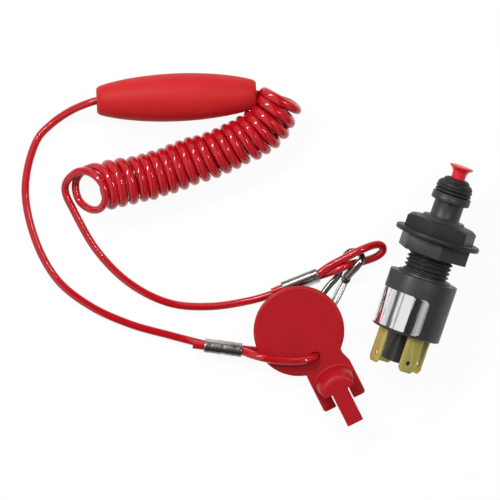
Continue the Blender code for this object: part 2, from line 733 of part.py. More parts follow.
def key(surface):
    rest_height = FORK_REACH * math.sin(math.radians(KEY_TILT_DEG)) + CORD_LIFT
    frame = add_empty("key_frame", heading_frame(KEY_PLACE, KEY_HEADING_DEG, rest_height, -KEY_TILT_DEG))
    radius = DISC_DIAMETER / 2
    disc_profile = [(0, 0), (radius - EDGE, 0), (radius, EDGE), (radius, KEY_PLATE - EDGE)]
    disc_profile += [(radius - EDGE, KEY_PLATE), (0, KEY_PLATE)]
    body = add_object("key", turned("key", disc_profile), surface, frame)
    body.location.y = DISC_OFFSET

    half = FORK_WIDTH / 2
    neck_half = HOOD_WIDTH / 2
    tip_left = arc(FORK_TIP_ROUND, -90, 0, 4, (FORK_REACH - FORK_TIP_ROUND, -half + FORK_TIP_ROUND))
    tip_right = arc(FORK_TIP_ROUND, 0, 90, 4, (FORK_REACH - FORK_TIP_ROUND, half - FORK_TIP_ROUND))
    start = radius / 3
    shoulder = HOOD_BACK + FORK_TIP_ROUND
    fork_outline = [(start, -neck_half), (shoulder, -half), *tip_left, *tip_right, (shoulder, half)]
    fork_outline += [(radius - 2 * FORK_TIP_ROUND, neck_half), (start, neck_half)]
    fork = add_object("key_fork", extruded("key_fork", fork_outline, 0, KEY_PLATE), parent=frame)
    combine(body, fork, "UNION")

    top = KEY_PLATE + HOOD_HEIGHT
    outer = add_object("hood_outer", hood_solid("hood_outer", KEY_PLATE / 2, top, 0.0, 0.0), parent=frame)
    combine(body, outer, "UNION")
    cavity_top = top - TONGUE_THICKNESS
    inner = hood_solid("hood_inner", KEY_PLATE, cavity_top, HOOD_WALL, 2 * HOOD_WALL)
    combine(body, add_object("hood_inner", inner, parent=frame), "DIFFERENCE")

    tongue_half = TONGUE_WIDTH / 2
    tongue_start = HOOD_TOP_BACK + HOOD_WALL
    tongue_outline = [(tongue_start, -tongue_half), (TONGUE_REACH, -tongue_half)]
    tongue_outline += [(TONGUE_REACH, tongue_half), (tongue_start, tongue_half)]
    tongue = extruded("key_tongue", tongue_outline, cavity_top + CORD_LIFT, top)
    combine(body, add_object("key_tongue", tongue, parent=frame), "UNION")

    slot_half = BUTTON_STEM_DIAMETER / 2 + FORK_CLEARANCE
    slot_end = FORK_REACH + GAP
    slot_outline = [(slot_end, -slot_half), (slot_end, slot_half)]
    slot_outline += arc(slot_half, 90, 270, 12, (SLOT_STATION, 0))
    slot = add_object("key_slot", extruded("key_slot", slot_outline, -GAP, KEY_PLATE + GAP), parent=frame)
    combine(body, slot, "DIFFERENCE")
    hole_mesh = turned("cord_hole", pin_profile(CORD_HOLE_DIAMETER / 2, 2 * KEY_PLATE), 24)
    hole = add_object("cord_hole", hole_mesh, parent=frame)
    hole.location = (*CORD_HOLE_PLACE, 0)
    combine(body, hole, "DIFFERENCE")


# Lanyard


def sleeve_channels(place, heading_deg, upper_side):
    """Centres of the two strands at each end of a crimp sleeve: lower, then upper.

    upper_side is +1 where the upper strand lies to the left of the heading, else -1.
    """
    spacing = CORD_DIAMETER + GAP / 2
    lean = math.radians(SLEEVE_LEAN_DEG)
    outer = CORD_DIAMETER / 2 + GAP + SLEEVE_WALL
    frame = heading_frame(place, heading_deg, 0)
    half = SLEEVE_LENGTH / 2
    across = upper_side * spacing * math.cos(lean) / 2
    low = [frame @ Vector((x, -across, outer)) for x in (-half, half)]
    high = [frame @ Vector((x, across, outer + spacing * math.sin(lean))) for x in (-half, half)]
    return low, high


def obround(radius, first, second, steps=10):
    """An outline round two circle centres."""
    run = (second[0] - first[0], second[1] - first[1])
    turn = math.degrees(math.atan2(run[1], run[0]))
    far_end = arc(radius, turn - 90, turn + 90, steps, second)
    return arc(radius, turn + 90, turn + 270, steps, first) + far_end


def crimp_sleeve(name, place, heading_deg, upper_side, surface):
    """An obround sleeve with one obround bore for both strands."""
    stand = Matrix(((0, 0, 1, 0), (1, 0, 0, 0), (0, 1, 0, 0), (0, 0, 0, 1)))
    frame = add_empty(name + "_frame", heading_frame(place, heading_deg, 0) @ stand)
    spacing = CORD_DIAMETER + GAP / 2
    lean = math.radians(SLEEVE_LEAN_DEG)
    bore = CORD_DIAMETER / 2 + GAP
    outer = bore + SLEEVE_WALL
    across = upper_side * spacing * math.cos(lean) / 2
    lower_centre = (-across, outer)
    upper_centre = (across, outer + spacing * math.sin(lean))
    half = SLEEVE_LENGTH / 2
    shell = extruded(name, obround(outer, lower_centre, upper_centre), -half, half)
    sleeve = add_object(name, shell, surface, frame)
    hole = extruded(name + "_bore", obround(bore, lower_centre, upper_centre), -half - GAP, half + GAP)
    combine(sleeve, add_object(name + "_bore", hole, parent=frame), "DIFFERENCE")


def straight_run(first, last):
    """Four points on a line, two close to its ends, so that a spline stays on it."""
    inset = (last - first).normalized() * CORD_DIAMETER / 2
    return [first, first + inset, last - inset, last]


def float_ends():
    frame = heading_frame(FLOAT_PLACE, FLOAT_HEADING_DEG, FLOAT_DIAMETER / 2 + CORD_LIFT)
    half = FLOAT_LENGTH / 2
    return frame @ Vector((-half, 0, 0)), frame @ Vector((half, 0, 0))


def stub_end(channel):
    """Where the short free end stops, past the sleeve's first end."""
    return channel[0] + (channel[0] - channel[1]).normalized() * STUB_LENGTH


def cord_lines():
    """Centre lines of the key's side, the coil and the hook's side, before thinning."""
    key_low, key_high = sleeve_channels(KEY_SLEEVE_PLACE, KEY_SLEEVE_HEADING_DEG, -1)
    hook_low, hook_high = sleeve_channels(HOOK_SLEEVE_PLACE, HOOK_SLEEVE_HEADING_DEG, 1)
    key_side = [stub_end(key_high), *straight_run(*key_high), *in_metres(KEY_LOOP_ROUTE)]
    key_side += [*straight_run(*reversed(key_low)), *in_metres(KEY_SIDE_ROUTE)]
    key_side += [*straight_run(*float_ends()), *in_metres(INTO_COIL_ROUTE)]
    hook_side = [*in_metres(HOOK_SIDE_ROUTE), *straight_run(*hook_low), *in_metres(HOOK_LOOP_ROUTE)]
    hook_side += [*straight_run(*reversed(hook_high)), stub_end(hook_high)]
    height = COIL_DIAMETER / 2 + CORD_LIFT
    coil = [Vector((x * MM, y * MM, height)) for x, y in COIL_ROUTE]
    return smooth_route(key_side), smooth_route(coil), smooth_route(hook_side)


def cords(surface):
    key_side, coil, hook_side = cord_lines()
    tube("cord_key_side", thin_out(key_side, CORD_STEP, CORD_TURN_DEG), CORD_DIAMETER, surface)
    tube("cord_coil", thin_out(coil, CORD_STEP, CORD_TURN_DEG / 3), COIL_DIAMETER, surface, 4)
    tube("cord_hook_side", thin_out(hook_side, CORD_STEP, CORD_TURN_DEG), CORD_DIAMETER, surface)


def float_body(surface):
    half = FLOAT_LENGTH / 2
    end = FLOAT_END_DIAMETER / 2
    belly = FLOAT_DIAMETER / 2 - end
    bore = CORD_DIAMETER / 2 + BORE_GAP
    stations = [half * math.sin(math.radians(7.5 * i)) for i in range(-12, 13)]
    barrel = [(end + belly * (1 - (s / half) ** 2) ** FLOAT_BELLY, s) for s in stations[1:-1]]
    profile = [(bore, -half), (end - FLOAT_EDGE, -half), *barrel, (end - FLOAT_EDGE, half), (bore, half)]
    stand = Matrix(((0, 0, 1, 0), (0, 1, 0, 0), (-1, 0, 0, 0), (0, 0, 0, 1)))
    height = FLOAT_DIAMETER / 2 + CORD_LIFT
    frame = add_empty("float_frame", heading_frame(FLOAT_PLACE, FLOAT_HEADING_DEG, height) @ stand)
    add_object("float", turned("float", profile, 36), surface, frame)


# Snap hook


def solid_from(curve_object, name, surface=None):
    """A mesh object of a curve's swept form, in place of the curve."""
    bpy.context.view_layer.update()
    depsgraph = bpy.context.evaluated_depsgraph_get()
    mesh = bpy.data.meshes.new_from_object(curve_object.evaluated_get(depsgraph))
    bpy.data.objects.remove(curve_object)
    mesh.materials.clear()
    bm = bmesh.new()
    bm.from_mesh(mesh)
    return add_object(name, mesh_from(bm, name), surface)


def snap_hook(surface, pin_surface):
    """A ring and a bent bar in one piece, and a straight gate on a pin between two lugs."""
    bend = thin_out(smooth_route(in_metres(HOOK_ROUTE)), 2 * HOOK_WIRE, CORD_TURN_DEG)
    body = solid_from(tube("hook_bar", bend, HOOK_WIRE, None, 3), "hook_body", surface)
    eye_frame = add_empty("eye_frame", heading_frame(EYE_PLACE, EYE_HEADING_DEG, EYE_HEIGHT, EYE_TILT_DEG))
    eye = turned("hook_eye", arc(EYE_WIRE / 2, 0, 330, 11, (EYE_RADIUS, 0)), SMALL_STEPS)
    combine(body, add_object("hook_eye", eye, parent=eye_frame), "UNION")

    frame = add_empty("gate_frame", heading_frame(PIVOT_PLACE, GATE_HEADING_DEG, CORD_LIFT))
    slot_low = LUG_THICKNESS
    slot_high = slot_low + BARREL_HEIGHT + 2 * GAP
    lug_top = slot_high + LUG_THICKNESS
    lug_radius = LUG_DIAMETER / 2
    lug = turned("hook_lug", [(0, 0), (lug_radius, 0), (lug_radius, lug_top), (0, lug_top)], 32)
    combine(body, add_object("hook_lug", lug, parent=frame), "UNION")
    slot_radius = BARREL_DIAMETER / 2 + GAP
    slot_outline = [(LUG_DIAMETER, -slot_radius), (LUG_DIAMETER, slot_radius)]
    slot_outline += arc(slot_radius, 90, 270, 12)
    slot = extruded("hook_slot", slot_outline, slot_low, slot_high)
    combine(body, add_object("hook_slot", slot, parent=frame), "DIFFERENCE")
    bore_through(body, "pin_hole", PIN_DIAMETER / 2 + GAP / 2, -GAP, lug_top + GAP, frame, 16)

    barrel_low = slot_low + GAP
    barrel_high = barrel_low + BARREL_HEIGHT
    barrel_radius = BARREL_DIAMETER / 2
    barrel_profile = [(0, barrel_low), (barrel_radius, barrel_low)]
    barrel_profile += [(barrel_radius, barrel_high), (0, barrel_high)]
    barrel = turned("hook_gate", barrel_profile, 24)
    gate = add_object("hook_gate", barrel, surface, frame)
    neck_half = GATE_NECK / 2
    neck_reach = LUG_DIAMETER / 2 + 2 * GAP
    neck_end = neck_reach + neck_half
    neck = [(0, -neck_half), (neck_end, -neck_half), (neck_end, neck_half), (0, neck_half)]
    neck_mesh = extruded("gate_neck", neck, barrel_low, barrel_high)
    combine(gate, add_object("gate_neck", neck_mesh, parent=frame), "UNION")
    half = GATE_WIDTH / 2
    tip_half = GATE_TIP_WIDTH / 2
    shoulder = neck_end + GATE_RAIL
    bar = [(neck_reach, -neck_half - GAP), (shoulder, -half), (GATE_LENGTH, -tip_half)]
    bar += [(GATE_LENGTH, tip_half), (shoulder, half), (neck_reach, neck_half + GAP)]
    bar_mesh = extruded("gate_bar", bar, GATE_LOWER_FACE, GATE_LOWER_FACE + GATE_DEPTH)
    combine(gate, add_object("gate_bar", bar_mesh, parent=frame), "UNION")
    wide = half - GATE_RAIL
    narrow = max(tip_half - GATE_RAIL, wide / 4)
    window_end = GATE_LENGTH - GATE_RAIL
    window = [(shoulder, -wide), (window_end, -narrow), (window_end, narrow), (shoulder, wide)]
    window_mesh = extruded("gate_window", window, 0, 2 * GATE_DEPTH)
    combine(gate, add_object("gate_window", window_mesh, parent=frame), "DIFFERENCE")
    bore_through(gate, "gate_bore", PIN_DIAMETER / 2 + GAP / 2, -GAP, lug_top + GAP, frame, 16)
    pin_radius = PIN_DIAMETER / 2
    pin = turned("gate_pin", [(0, 0), (pin_radius, 0), (pin_radius, lug_top), (0, lug_top)], 16)
    add_object("gate_pin", pin, pin_surface, frame)


def main():
    clear_scene()
    surfaces = {
        "black_plastic": material("black_plastic", (0.035, 0.035, 0.038), 0.5),
        "grey_plastic": material("grey_plastic", (0.09, 0.10, 0.105), 0.5),
        "black_rubber": material("black_rubber", (0.025, 0.025, 0.028), 0.6),
        "foil": material("foil", (0.75, 0.75, 0.77), 0.2, 1.0),
        "brass": material("brass", (0.55, 0.45, 0.16), 0.35, 1.0),
        "steel": material("steel", (0.6, 0.6, 0.6), 0.3, 1.0),
        "red_button": material("red_button", (0.72, 0.03, 0.04), 0.4),
        "red_moulding": material("red_moulding", (0.42, 0.01, 0.018), 0.4),
        "red_cord": material("red_cord", (0.5, 0.01, 0.02), 0.2),
        "red_foam": material("red_foam", (0.5, 0.02, 0.025), 0.6),
        "nickel": material("nickel", (0.62, 0.62, 0.6), 0.25, 1.0),
        "crimp_metal": material("crimp_metal", (0.4, 0.38, 0.36), 0.35, 1.0),
    }
    make_switch(surfaces)
    key(surfaces["red_moulding"])
    cords(surfaces["red_cord"])
    float_body(surfaces["red_foam"])
    crimp_sleeve("ferrule_key", KEY_SLEEVE_PLACE, KEY_SLEEVE_HEADING_DEG, -1, surfaces["crimp_metal"])
    crimp_sleeve("ferrule_hook", HOOK_SLEEVE_PLACE, HOOK_SLEEVE_HEADING_DEG, 1, surfaces["crimp_metal"])
    snap_hook(surfaces["nickel"], surfaces["steel"])
    pieces = [piece for piece in bpy.data.objects if piece.parent is None]
    layout = add_empty("layout", Matrix.Translation(LAYOUT_SHIFT))
    for piece in pieces:
        piece.parent = layout


main()
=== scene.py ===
"""Engine cut-off switch with its key, coiled lanyard, float and snap hook, laid out flat.

Metres, +Z up, seen from straight above. Lengths in the functions are in millimetres
and are turned into metres where a piece is put in its place.
"""

import math

import bpy
from mathutils import Matrix, Vector


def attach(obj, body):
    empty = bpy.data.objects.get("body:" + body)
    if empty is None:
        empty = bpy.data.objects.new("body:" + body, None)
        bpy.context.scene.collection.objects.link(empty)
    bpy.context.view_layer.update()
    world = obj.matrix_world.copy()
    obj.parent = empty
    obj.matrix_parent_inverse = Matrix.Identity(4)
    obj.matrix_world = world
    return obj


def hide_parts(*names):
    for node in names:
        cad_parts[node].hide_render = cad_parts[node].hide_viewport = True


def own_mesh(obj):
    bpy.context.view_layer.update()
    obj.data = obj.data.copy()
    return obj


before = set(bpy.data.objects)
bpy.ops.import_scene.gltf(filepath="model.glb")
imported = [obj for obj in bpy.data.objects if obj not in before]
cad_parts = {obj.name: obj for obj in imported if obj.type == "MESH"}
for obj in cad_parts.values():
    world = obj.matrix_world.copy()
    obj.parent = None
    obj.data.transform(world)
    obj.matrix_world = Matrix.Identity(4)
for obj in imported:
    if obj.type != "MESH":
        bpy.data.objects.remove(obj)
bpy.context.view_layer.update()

MM = 0.001
PIXEL = 0.34  # millimetres on the object to one pixel of the picture
PICTURE_SIZE = 500
PICTURE_MIDDLE = PICTURE_SIZE / 2
FLOOR_GAP = 0.02  # under what lies on the floor
SHIFT = Vector((-39.55, 15.16, 0.0)) * MM  # layout to the model's own middle

# Cord
CORD_DIAMETER = 2.7
COIL_LIFT = 7.62  # height of the coil's axis
COIL_RISE = 5.78  # how far a turn's centre line rises and falls from it
COIL_STOUT = (1.14, 1.36)  # least and most stoutness of its cord, where the turns press together
STOUT_RUN = 16  # route points over which the cord gets stouter, at each end of the coil
TURN_STEPS = 10  # route points to half a turn
TURN_LEAN = 6  # pixels by which a turn at the coil's left end bows along the axis
LEAN_START = 195  # picture column where the turns start to bow
LEAN_RUN = 90  # columns over which the bow grows to its full size
LAST_TURN_LEAN = 10

# Crimp sleeves
SLEEVE_LENGTH = 12.9
SLEEVE_WALL = 0.4
SLEEVE_RADIUS = CORD_DIAMETER / 2 + 0.3 + SLEEVE_WALL
STRAND_SPACING = 2.85
STRAND_LEAN = math.radians(75)
STUB_LENGTH = 3.9
KEY_SLEEVE = ((-9.1, -33.2), -7.6, -1)  # place, heading, side of the upper strand
HOOK_SLEEVE = ((17.2, -10.9), 21.6, 1)

# Float
FLOAT_PLACE = (-25.0, 51.9)
FLOAT_HEADING = 2.4
FLOAT_LENGTH = 54.4
FLOAT_RADIUS = 8.2
FLOAT_END_RADIUS = 4.5

# Key
KEY_PLACE = (19.4, -25.9)
KEY_HEADING = -63.3
KEY_TILT = 9.0
KEY_PLATE = 2.4
DISC_RADIUS = 15.5
DISC_OFFSET = -3.2
FORK_REACH = 29.0
FORK_HALF = 7.85
FORK_TIP = 1.0  # radius of the fork's corners
HOOD_TOP = 10.6
HOLLOW_TOP = 8.4
TONGUE_REACH = 35.7
TONGUE_HALF = 2.9
SLOT_RADIUS = 3.3
SLOT_STATION = 21.4
CORD_HOLE_PLACE = (10.2, -2.15)
CORD_HOLE_RADII = (1.52, 1.68)

# Switch
SWITCH_PLACE = (52.8, -28.2)
SWITCH_HEADING = 71.2
HOUSING_RADIUS = 11.9
HOUSING_EDGE = 0.5
FLANGE_LOW = 33.9  # height of the front nut's flange on the switch's axis
FLANGE_PROUD = 2.9  # how far the flange stands out past the housing
BLADE_ANGLES = (30, 120, 210, 300)
BLADE_RADIUS = 8.3
BLADE_HALF = 3.15
BLADE_TIP = -12.2
BLADE_TIP_CHAMFER = 1.3
BLADE_TOP = 6.2
BLADE_DEEP = 0.4  # half its thickness
POST_HALF = 4.15
POST_CHAMFER = 0.9
LABEL_SPAN = (-105.0, 23.6)  # degrees round the axis
LABEL_LOW = 0.9
LABEL_HEIGHT = 12.7
LABEL_CORNER = 1.6
THREAD_RADIUS = 8.0
THREAD_LOW = 20.8
THREAD_END = 38.8
THREAD_CHAMFER_LOW = 40.0
THREAD_TOP = 41.3
THREAD_DEPTH = 0.95
PITCH = 1.5
NUT_CORNER = 22.0 / math.sqrt(3)
NUT_BORE = 8.3
SPRING_WIRE = 0.7
SPRING_RADIUS = 3.25
SPRING_TURNS = 3.5
SPRING_LOW = 10.25
SPRING_HIGH = 17.45

# Snap hook
PIVOT_PLACE = (32.6, -9.9)
GATE_HEADING = -116.5
HOOK_WIRE = 2.3
EYE_STOUT = 0.27  # how much stouter the bar is in its eye
EYE_POINTS = 26  # route points in the eye
LUG_RADIUS = 1.6
LUG_TOP = 2.8
LUG_SLOT = (0.6, 2.2)  # heights
GATE_WIRE = 0.95
GATE_HEIGHT = 1.4

# Routes of the cord's centre line: x, y, height in the layout
KEY_LOOP_ROUTE = [
    (0.5, -35.6, 6.9), (4.1, -36.6, 8.6), (8.5, -37.4, 8.4), (13.6, -37.8, 7.9), (19.0, -37.5, 7.4),
    (21.4, -36.8, 6.4), (22.4, -36.0, 4.3), (21.5, -35.3, 2.2), (19.2, -35.0, 1.6), (10.2, -34.3, 1.4),
    (3.4, -34.2, 1.5),
]
KEY_SIDE_ROUTE = [
    (-20.4, -30.8, 1.5), (-27.2, -29.0, 1.37), (-40.8, -25.2, 1.37), (-54.4, -19.0, 1.37),
    (-65.5, -10.1, 1.37), (-73.2, 4.1, 1.37), (-76.4, 21.4, 1.37), (-72.4, 37.4, 1.6),
    (-67.3, 43.0, 2.3), (-61.2, 47.2, 4.3), (-56.6, 49.3, 6.8),
]
HOOK_SIDE_ROUTE = [
    (-60.4, 14.3, 1.5), (-52.2, 0.0, 1.37), (-40.8, -11.4, 1.37), (-27.2, -18.1, 1.37),
    (-13.6, -19.2, 1.37), (0.0, -17.2, 1.37), (6.1, -15.5, 1.6),
]
HOOK_LOOP_ROUTE = [
    (27.2, -7.6, 3.7), (30.8, -6.3, 5.0), (33.0, -5.2, 4.5), (35.3, -4.5, 2.5), (37.4, -4.2, 1.45),
    (40.0, -3.4, 1.37), (42.2, -2.6, 1.37), (44.1, -1.5, 1.4), (45.2, -0.2, 1.6), (45.1, 1.1, 2.1),
    (44.2, 1.8, 2.8), (42.6, 1.8, 3.7), (39.8, 0.9, 5.4), (36.4, -0.6, 6.2), (32.3, -2.7, 5.6),
    (27.2, -5.4, 4.8),
]
# The upper and the lower end of each turn of the coil in the picture, from right to left
COIL_TURNS = [
    ((264.5, 92.3), (297.5, 110.5)), ((261.5, 99.5), (290, 123)), ((255, 109), (284, 134)),
    ((248, 115.5), (275.5, 143.5)), ((240, 120.3), (266.5, 149.8)), ((232.3, 125), (257.5, 155.3)),
    ((225, 128.3), (246, 159.7)), ((216, 132.8), (237, 164.2)), ((206.8, 136.8), (227.3, 168.7)),
    ((196.8, 139.8), (216.8, 173.2)), ((188.3, 141.8), (206.2, 177.2)), ((179.3, 145.3), (194.8, 180.2)),
    ((169.8, 148.8), (184.3, 184.7)), ((161.2, 152.8), (173.8, 188.7)), ((151.5, 155.4), (164, 191.6)),
    ((142, 158.4), (153.6, 195.1)), ((132, 160.9), (144.2, 197.1)), ((119.8, 162.9), (133.3, 199.6)),
    ((107.7, 164.9), (122.4, 202)), ((92.5, 167), (111.6, 204.5)),
]
FIRST_TURN_HEIGHTS = {0: (9.3, 8.5), 1: (8.9, COIL_LIFT)}  # of a turn's two ends
# The cord from the float into the coil, and from the coil's last turn: column, row, height
COIL_TAIL_PIXELS = [
    (259.5, 94.4, 7.4), (262, 94.7, 6.1), (264.5, 95.2, 4.6), (268, 96, 2.7),
    (273, 97.4, 1.6), (280, 99.2, 1.45), (288, 102, 1.7), (294, 105.6, 3.6), (297.3, 109, 6.5),
]
COIL_HEAD_PIXELS = [
    (82, 172, 4), (76, 181, 1.6), (75.7, 190, 1.37), (79, 200, 1.6), (86, 207, 3.5), (95, 210, 7),
    (102, 207, 10.5), (105.5, 199, 12.8), (104.5, 189, 13.6), (99.5, 180, 13), (92, 173.5, 11.5),
    (84, 171, 9.5), (77, 172, 8.3), (71.7, 175.6, 6.3), (67, 181, 4), (65, 188, 2), (66.5, 196, 1.4),
]
HOOK_BAR_ROUTE = [  # the eye, then the back, then the bend
    (32.4, -10.0, 1.7), (33.3, -8.6, 2.4), (35.0, -6.8, 3.7), (36.6, -5.1, 4.35), (37.7, -3.7, 4.35),
    (38.1, -2.4, 3.8), (37.5, -1.2, 3.2), (36.0, -0.5, 2.6), (34.3, -0.5, 2.0), (33.0, -1.3, 1.5),
    (32.0, -2.9, 1.3), (31.3, -4.8, 1.25), (30.6, -7.2, 1.25), (29.4, -9.4, 1.3), (27.0, -12.0, 1.3),
    (23.8, -16.0, 1.3), (18.4, -21.2, 1.3), (15.8, -26.0, 1.3), (18.2, -30.6, 1.3), (23.0, -30.0, 1.3),
    (25.6, -24.7, 1.3),
]
GATE_ROUTE = [  # along the gate from its pivot, across it
    (0.6, 0.75), (2.4, 0.8), (4.4, 0.92), (9.5, 0.78), (14.4, 0.58), (15.0, 0.32), (15.1, 0.0),
    (15.0, -0.32), (14.4, -0.58), (9.5, -0.78), (4.4, -0.92), (2.4, -0.8), (0.6, -0.75),
]


# Places


def from_layout(x, y, z):
    return Vector((x, y, z)) * MM + SHIFT


def from_pixel(x, y, z):
    return from_layout((x - PICTURE_MIDDLE) * PIXEL, (PICTURE_MIDDLE - y) * PIXEL, z)


def heading_frame(place, heading, height, tilt=0.0):
    """X runs along the heading and rises by the tilt, Z is the upper side; its unit is a millimetre."""
    turn = Matrix.Rotation(math.radians(heading), 4, "Z")
    rise = Matrix.Rotation(-math.radians(tilt), 4, "Y")
    return Matrix.Translation(from_layout(*place, height)) @ turn @ rise @ Matrix.Scale(MM, 4)


def switch_frame():
    """Z runs up the switch's axis from its lower face, X is the side seen from above."""
    lift = math.atan(FLANGE_PROUD / (FLANGE_LOW - HOUSING_EDGE))
    height = HOUSING_RADIUS * math.cos(lift) - HOUSING_EDGE * math.sin(lift)
    flat = math.radians(SWITCH_HEADING)
    along = Vector((math.cos(flat) * math.cos(lift), math.sin(flat) * math.cos(lift), math.sin(lift)))
    side = along.cross(Vector((0, 0, 1))).normalized()
    turn = Matrix((side.cross(along), side, along)).transposed().to_4x4()
    return Matrix.Translation(from_layout(*SWITCH_PLACE, height)) @ turn @ Matrix.Scale(MM, 4)


SWITCH = switch_frame()
KEY_RISE = FORK_REACH * math.sin(math.radians(KEY_TILT)) + FLOOR_GAP
KEY = heading_frame(KEY_PLACE, KEY_HEADING, KEY_RISE, -KEY_TILT)
FLOAT = heading_frame(FLOAT_PLACE, FLOAT_HEADING, FLOAT_RADIUS + FLOOR_GAP)
FLOAT = FLOAT @ Matrix.Rotation(math.radians(90), 4, "Y")
GATE = heading_frame(PIVOT_PLACE, GATE_HEADING, FLOOR_GAP)
SIDEWAYS = Matrix(((0, 0, 1, 0), (1, 0, 0, 0), (0, 1, 0, 0), (0, 0, 0, 1)))  # Z to X, X to Y, Y to Z


# Shaping


def deselect():
    if bpy.context.mode != "OBJECT":
        bpy.ops.object.mode_set(mode="OBJECT")
    bpy.ops.object.select_all(action="DESELECT")


def only(piece):
    deselect()
    bpy.context.view_layer.objects.active = piece
    piece.select_set(True)


def edit(piece, action="SELECT"):
    only(piece)
    bpy.ops.object.mode_set(mode="EDIT")
    bpy.ops.mesh.select_all(action=action)


def drawn_line(name, points, closed):
    """A line of edges through the points, left in edit mode and selected."""
    deselect()
    bpy.ops.mesh.primitive_plane_add(size=1)
    piece = bpy.context.active_object
    piece.name = name
    bpy.ops.object.mode_set(mode="EDIT")
    bpy.ops.mesh.select_all(action="SELECT")
    bpy.ops.mesh.merge(type="CENTER")
    bpy.ops.transform.translate(value=points[0])
    ends = [*points[1:], points[0]] if closed else points[1:]
    for before, here in zip(points, ends):
        step = Vector(here) - Vector(before)
        bpy.ops.mesh.extrude_vertices_move(TRANSFORM_OT_translate={"value": step})
    bpy.ops.mesh.select_all(action="SELECT")
    bpy.ops.mesh.remove_doubles(threshold=0.0005)
    return piece


def close_up(piece):
    """Merges doubles and points the faces outwards."""
    edit(piece)
    bpy.ops.mesh.remove_doubles(threshold=0.002)
    bpy.ops.mesh.dissolve_degenerate(threshold=0.0005)
    bpy.ops.mesh.select_all(action="SELECT")
    bpy.ops.mesh.normals_make_consistent(inside=False)
    bpy.ops.object.mode_set(mode="OBJECT")
    return piece


def turned(name, profile, sides=72, closed=True):
    """A profile of (radius, height) pairs spun round Z."""
    piece = drawn_line(name, [(radius, 0, height) for radius, height in profile], closed)
    bpy.ops.mesh.spin(
        steps=sides, angle=math.tau, center=(0, 0, 0), axis=(0, 0, 1), use_auto_merge=True
    )
    return close_up(piece)


def plate(name, outline, low, high):
    """A flat outline filled and extruded upwards."""
    piece = drawn_line(name, [(x, y, low) for x, y in outline], True)
    bpy.ops.mesh.edge_face_add()
    bpy.ops.mesh.extrude_region_move(TRANSFORM_OT_translate={"value": (0, 0, high - low)})
    return close_up(piece)


def arc(radius, start, stop, steps, centre=(0, 0)):
    turns = [math.radians(start + (stop - start) * i / steps) for i in range(steps + 1)]
    return [(centre[0] + radius * math.cos(t), centre[1] + radius * math.sin(t)) for t in turns]


def apply_all(piece):
    only(piece)
    for modifier in list(piece.modifiers):
        bpy.ops.object.modifier_apply(modifier=modifier.name)
    return piece


def combined(piece, other, operation):
    """Joins, cuts or trims a piece with another, which is then used up."""
    only(piece)
    boolean = piece.modifiers.new("combine", "BOOLEAN")
    boolean.operation = operation
    boolean.solver = "EXACT"
    boolean.object = other
    apply_all(piece)
    bpy.data.objects.remove(other)
    return piece


def softened(piece, width, segments=2, angle=30):
    """Rounds every edge sharper than the angle."""
    bevel = piece.modifiers.new("soft_edges", "BEVEL")
    bevel.width = width
    bevel.segments = segments
    bevel.limit_method = "ANGLE"
    bevel.angle_limit = math.radians(angle)
    return apply_all(piece)


def moulded(piece, cell, rounds):
    """One skin over all of a joined piece, with its corners and inner angles rounded."""
    remesh = piece.modifiers.new("skin", "REMESH")
    remesh.mode = "VOXEL"
    remesh.voxel_size = cell
    smooth = piece.modifiers.new("rounding", "SMOOTH")
    smooth.factor = 0.5
    smooth.iterations = rounds
    return apply_all(piece)


def bore(piece, radius, low, high, centre=(0, 0), sides=48):
    tool = plate("bore", arc(radius, 0, 360 * (sides - 1) / sides, sides - 1, centre), low, high)
    return combined(piece, tool, "DIFFERENCE")


def put(piece, place, body, slot, material, *nodes, angle=35):
    """Takes a finished piece to its place, shades it, and gives it its finish and body."""
    piece.matrix_world = place @ piece.matrix_world
    only(piece)
    bpy.ops.object.transform_apply(location=True, rotation=True, scale=True)
    bpy.ops.object.shade_smooth_by_angle(angle=math.radians(angle))
    piece.data.materials.clear()
    piece.data.materials.append(material)
    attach(piece, body)
    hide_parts(*nodes)
    return piece


# Finishes


def maths(tree, operation, *inputs):
    """The output of a maths node whose inputs are numbers or other nodes' outputs."""
    node = tree.nodes.new("ShaderNodeMath")
    node.operation = operation
    for socket, value in zip(node.inputs, inputs):
        if isinstance(value, float):
            socket.default_value = value
        else:
            tree.links.new(value, socket)
    return node.outputs[0]


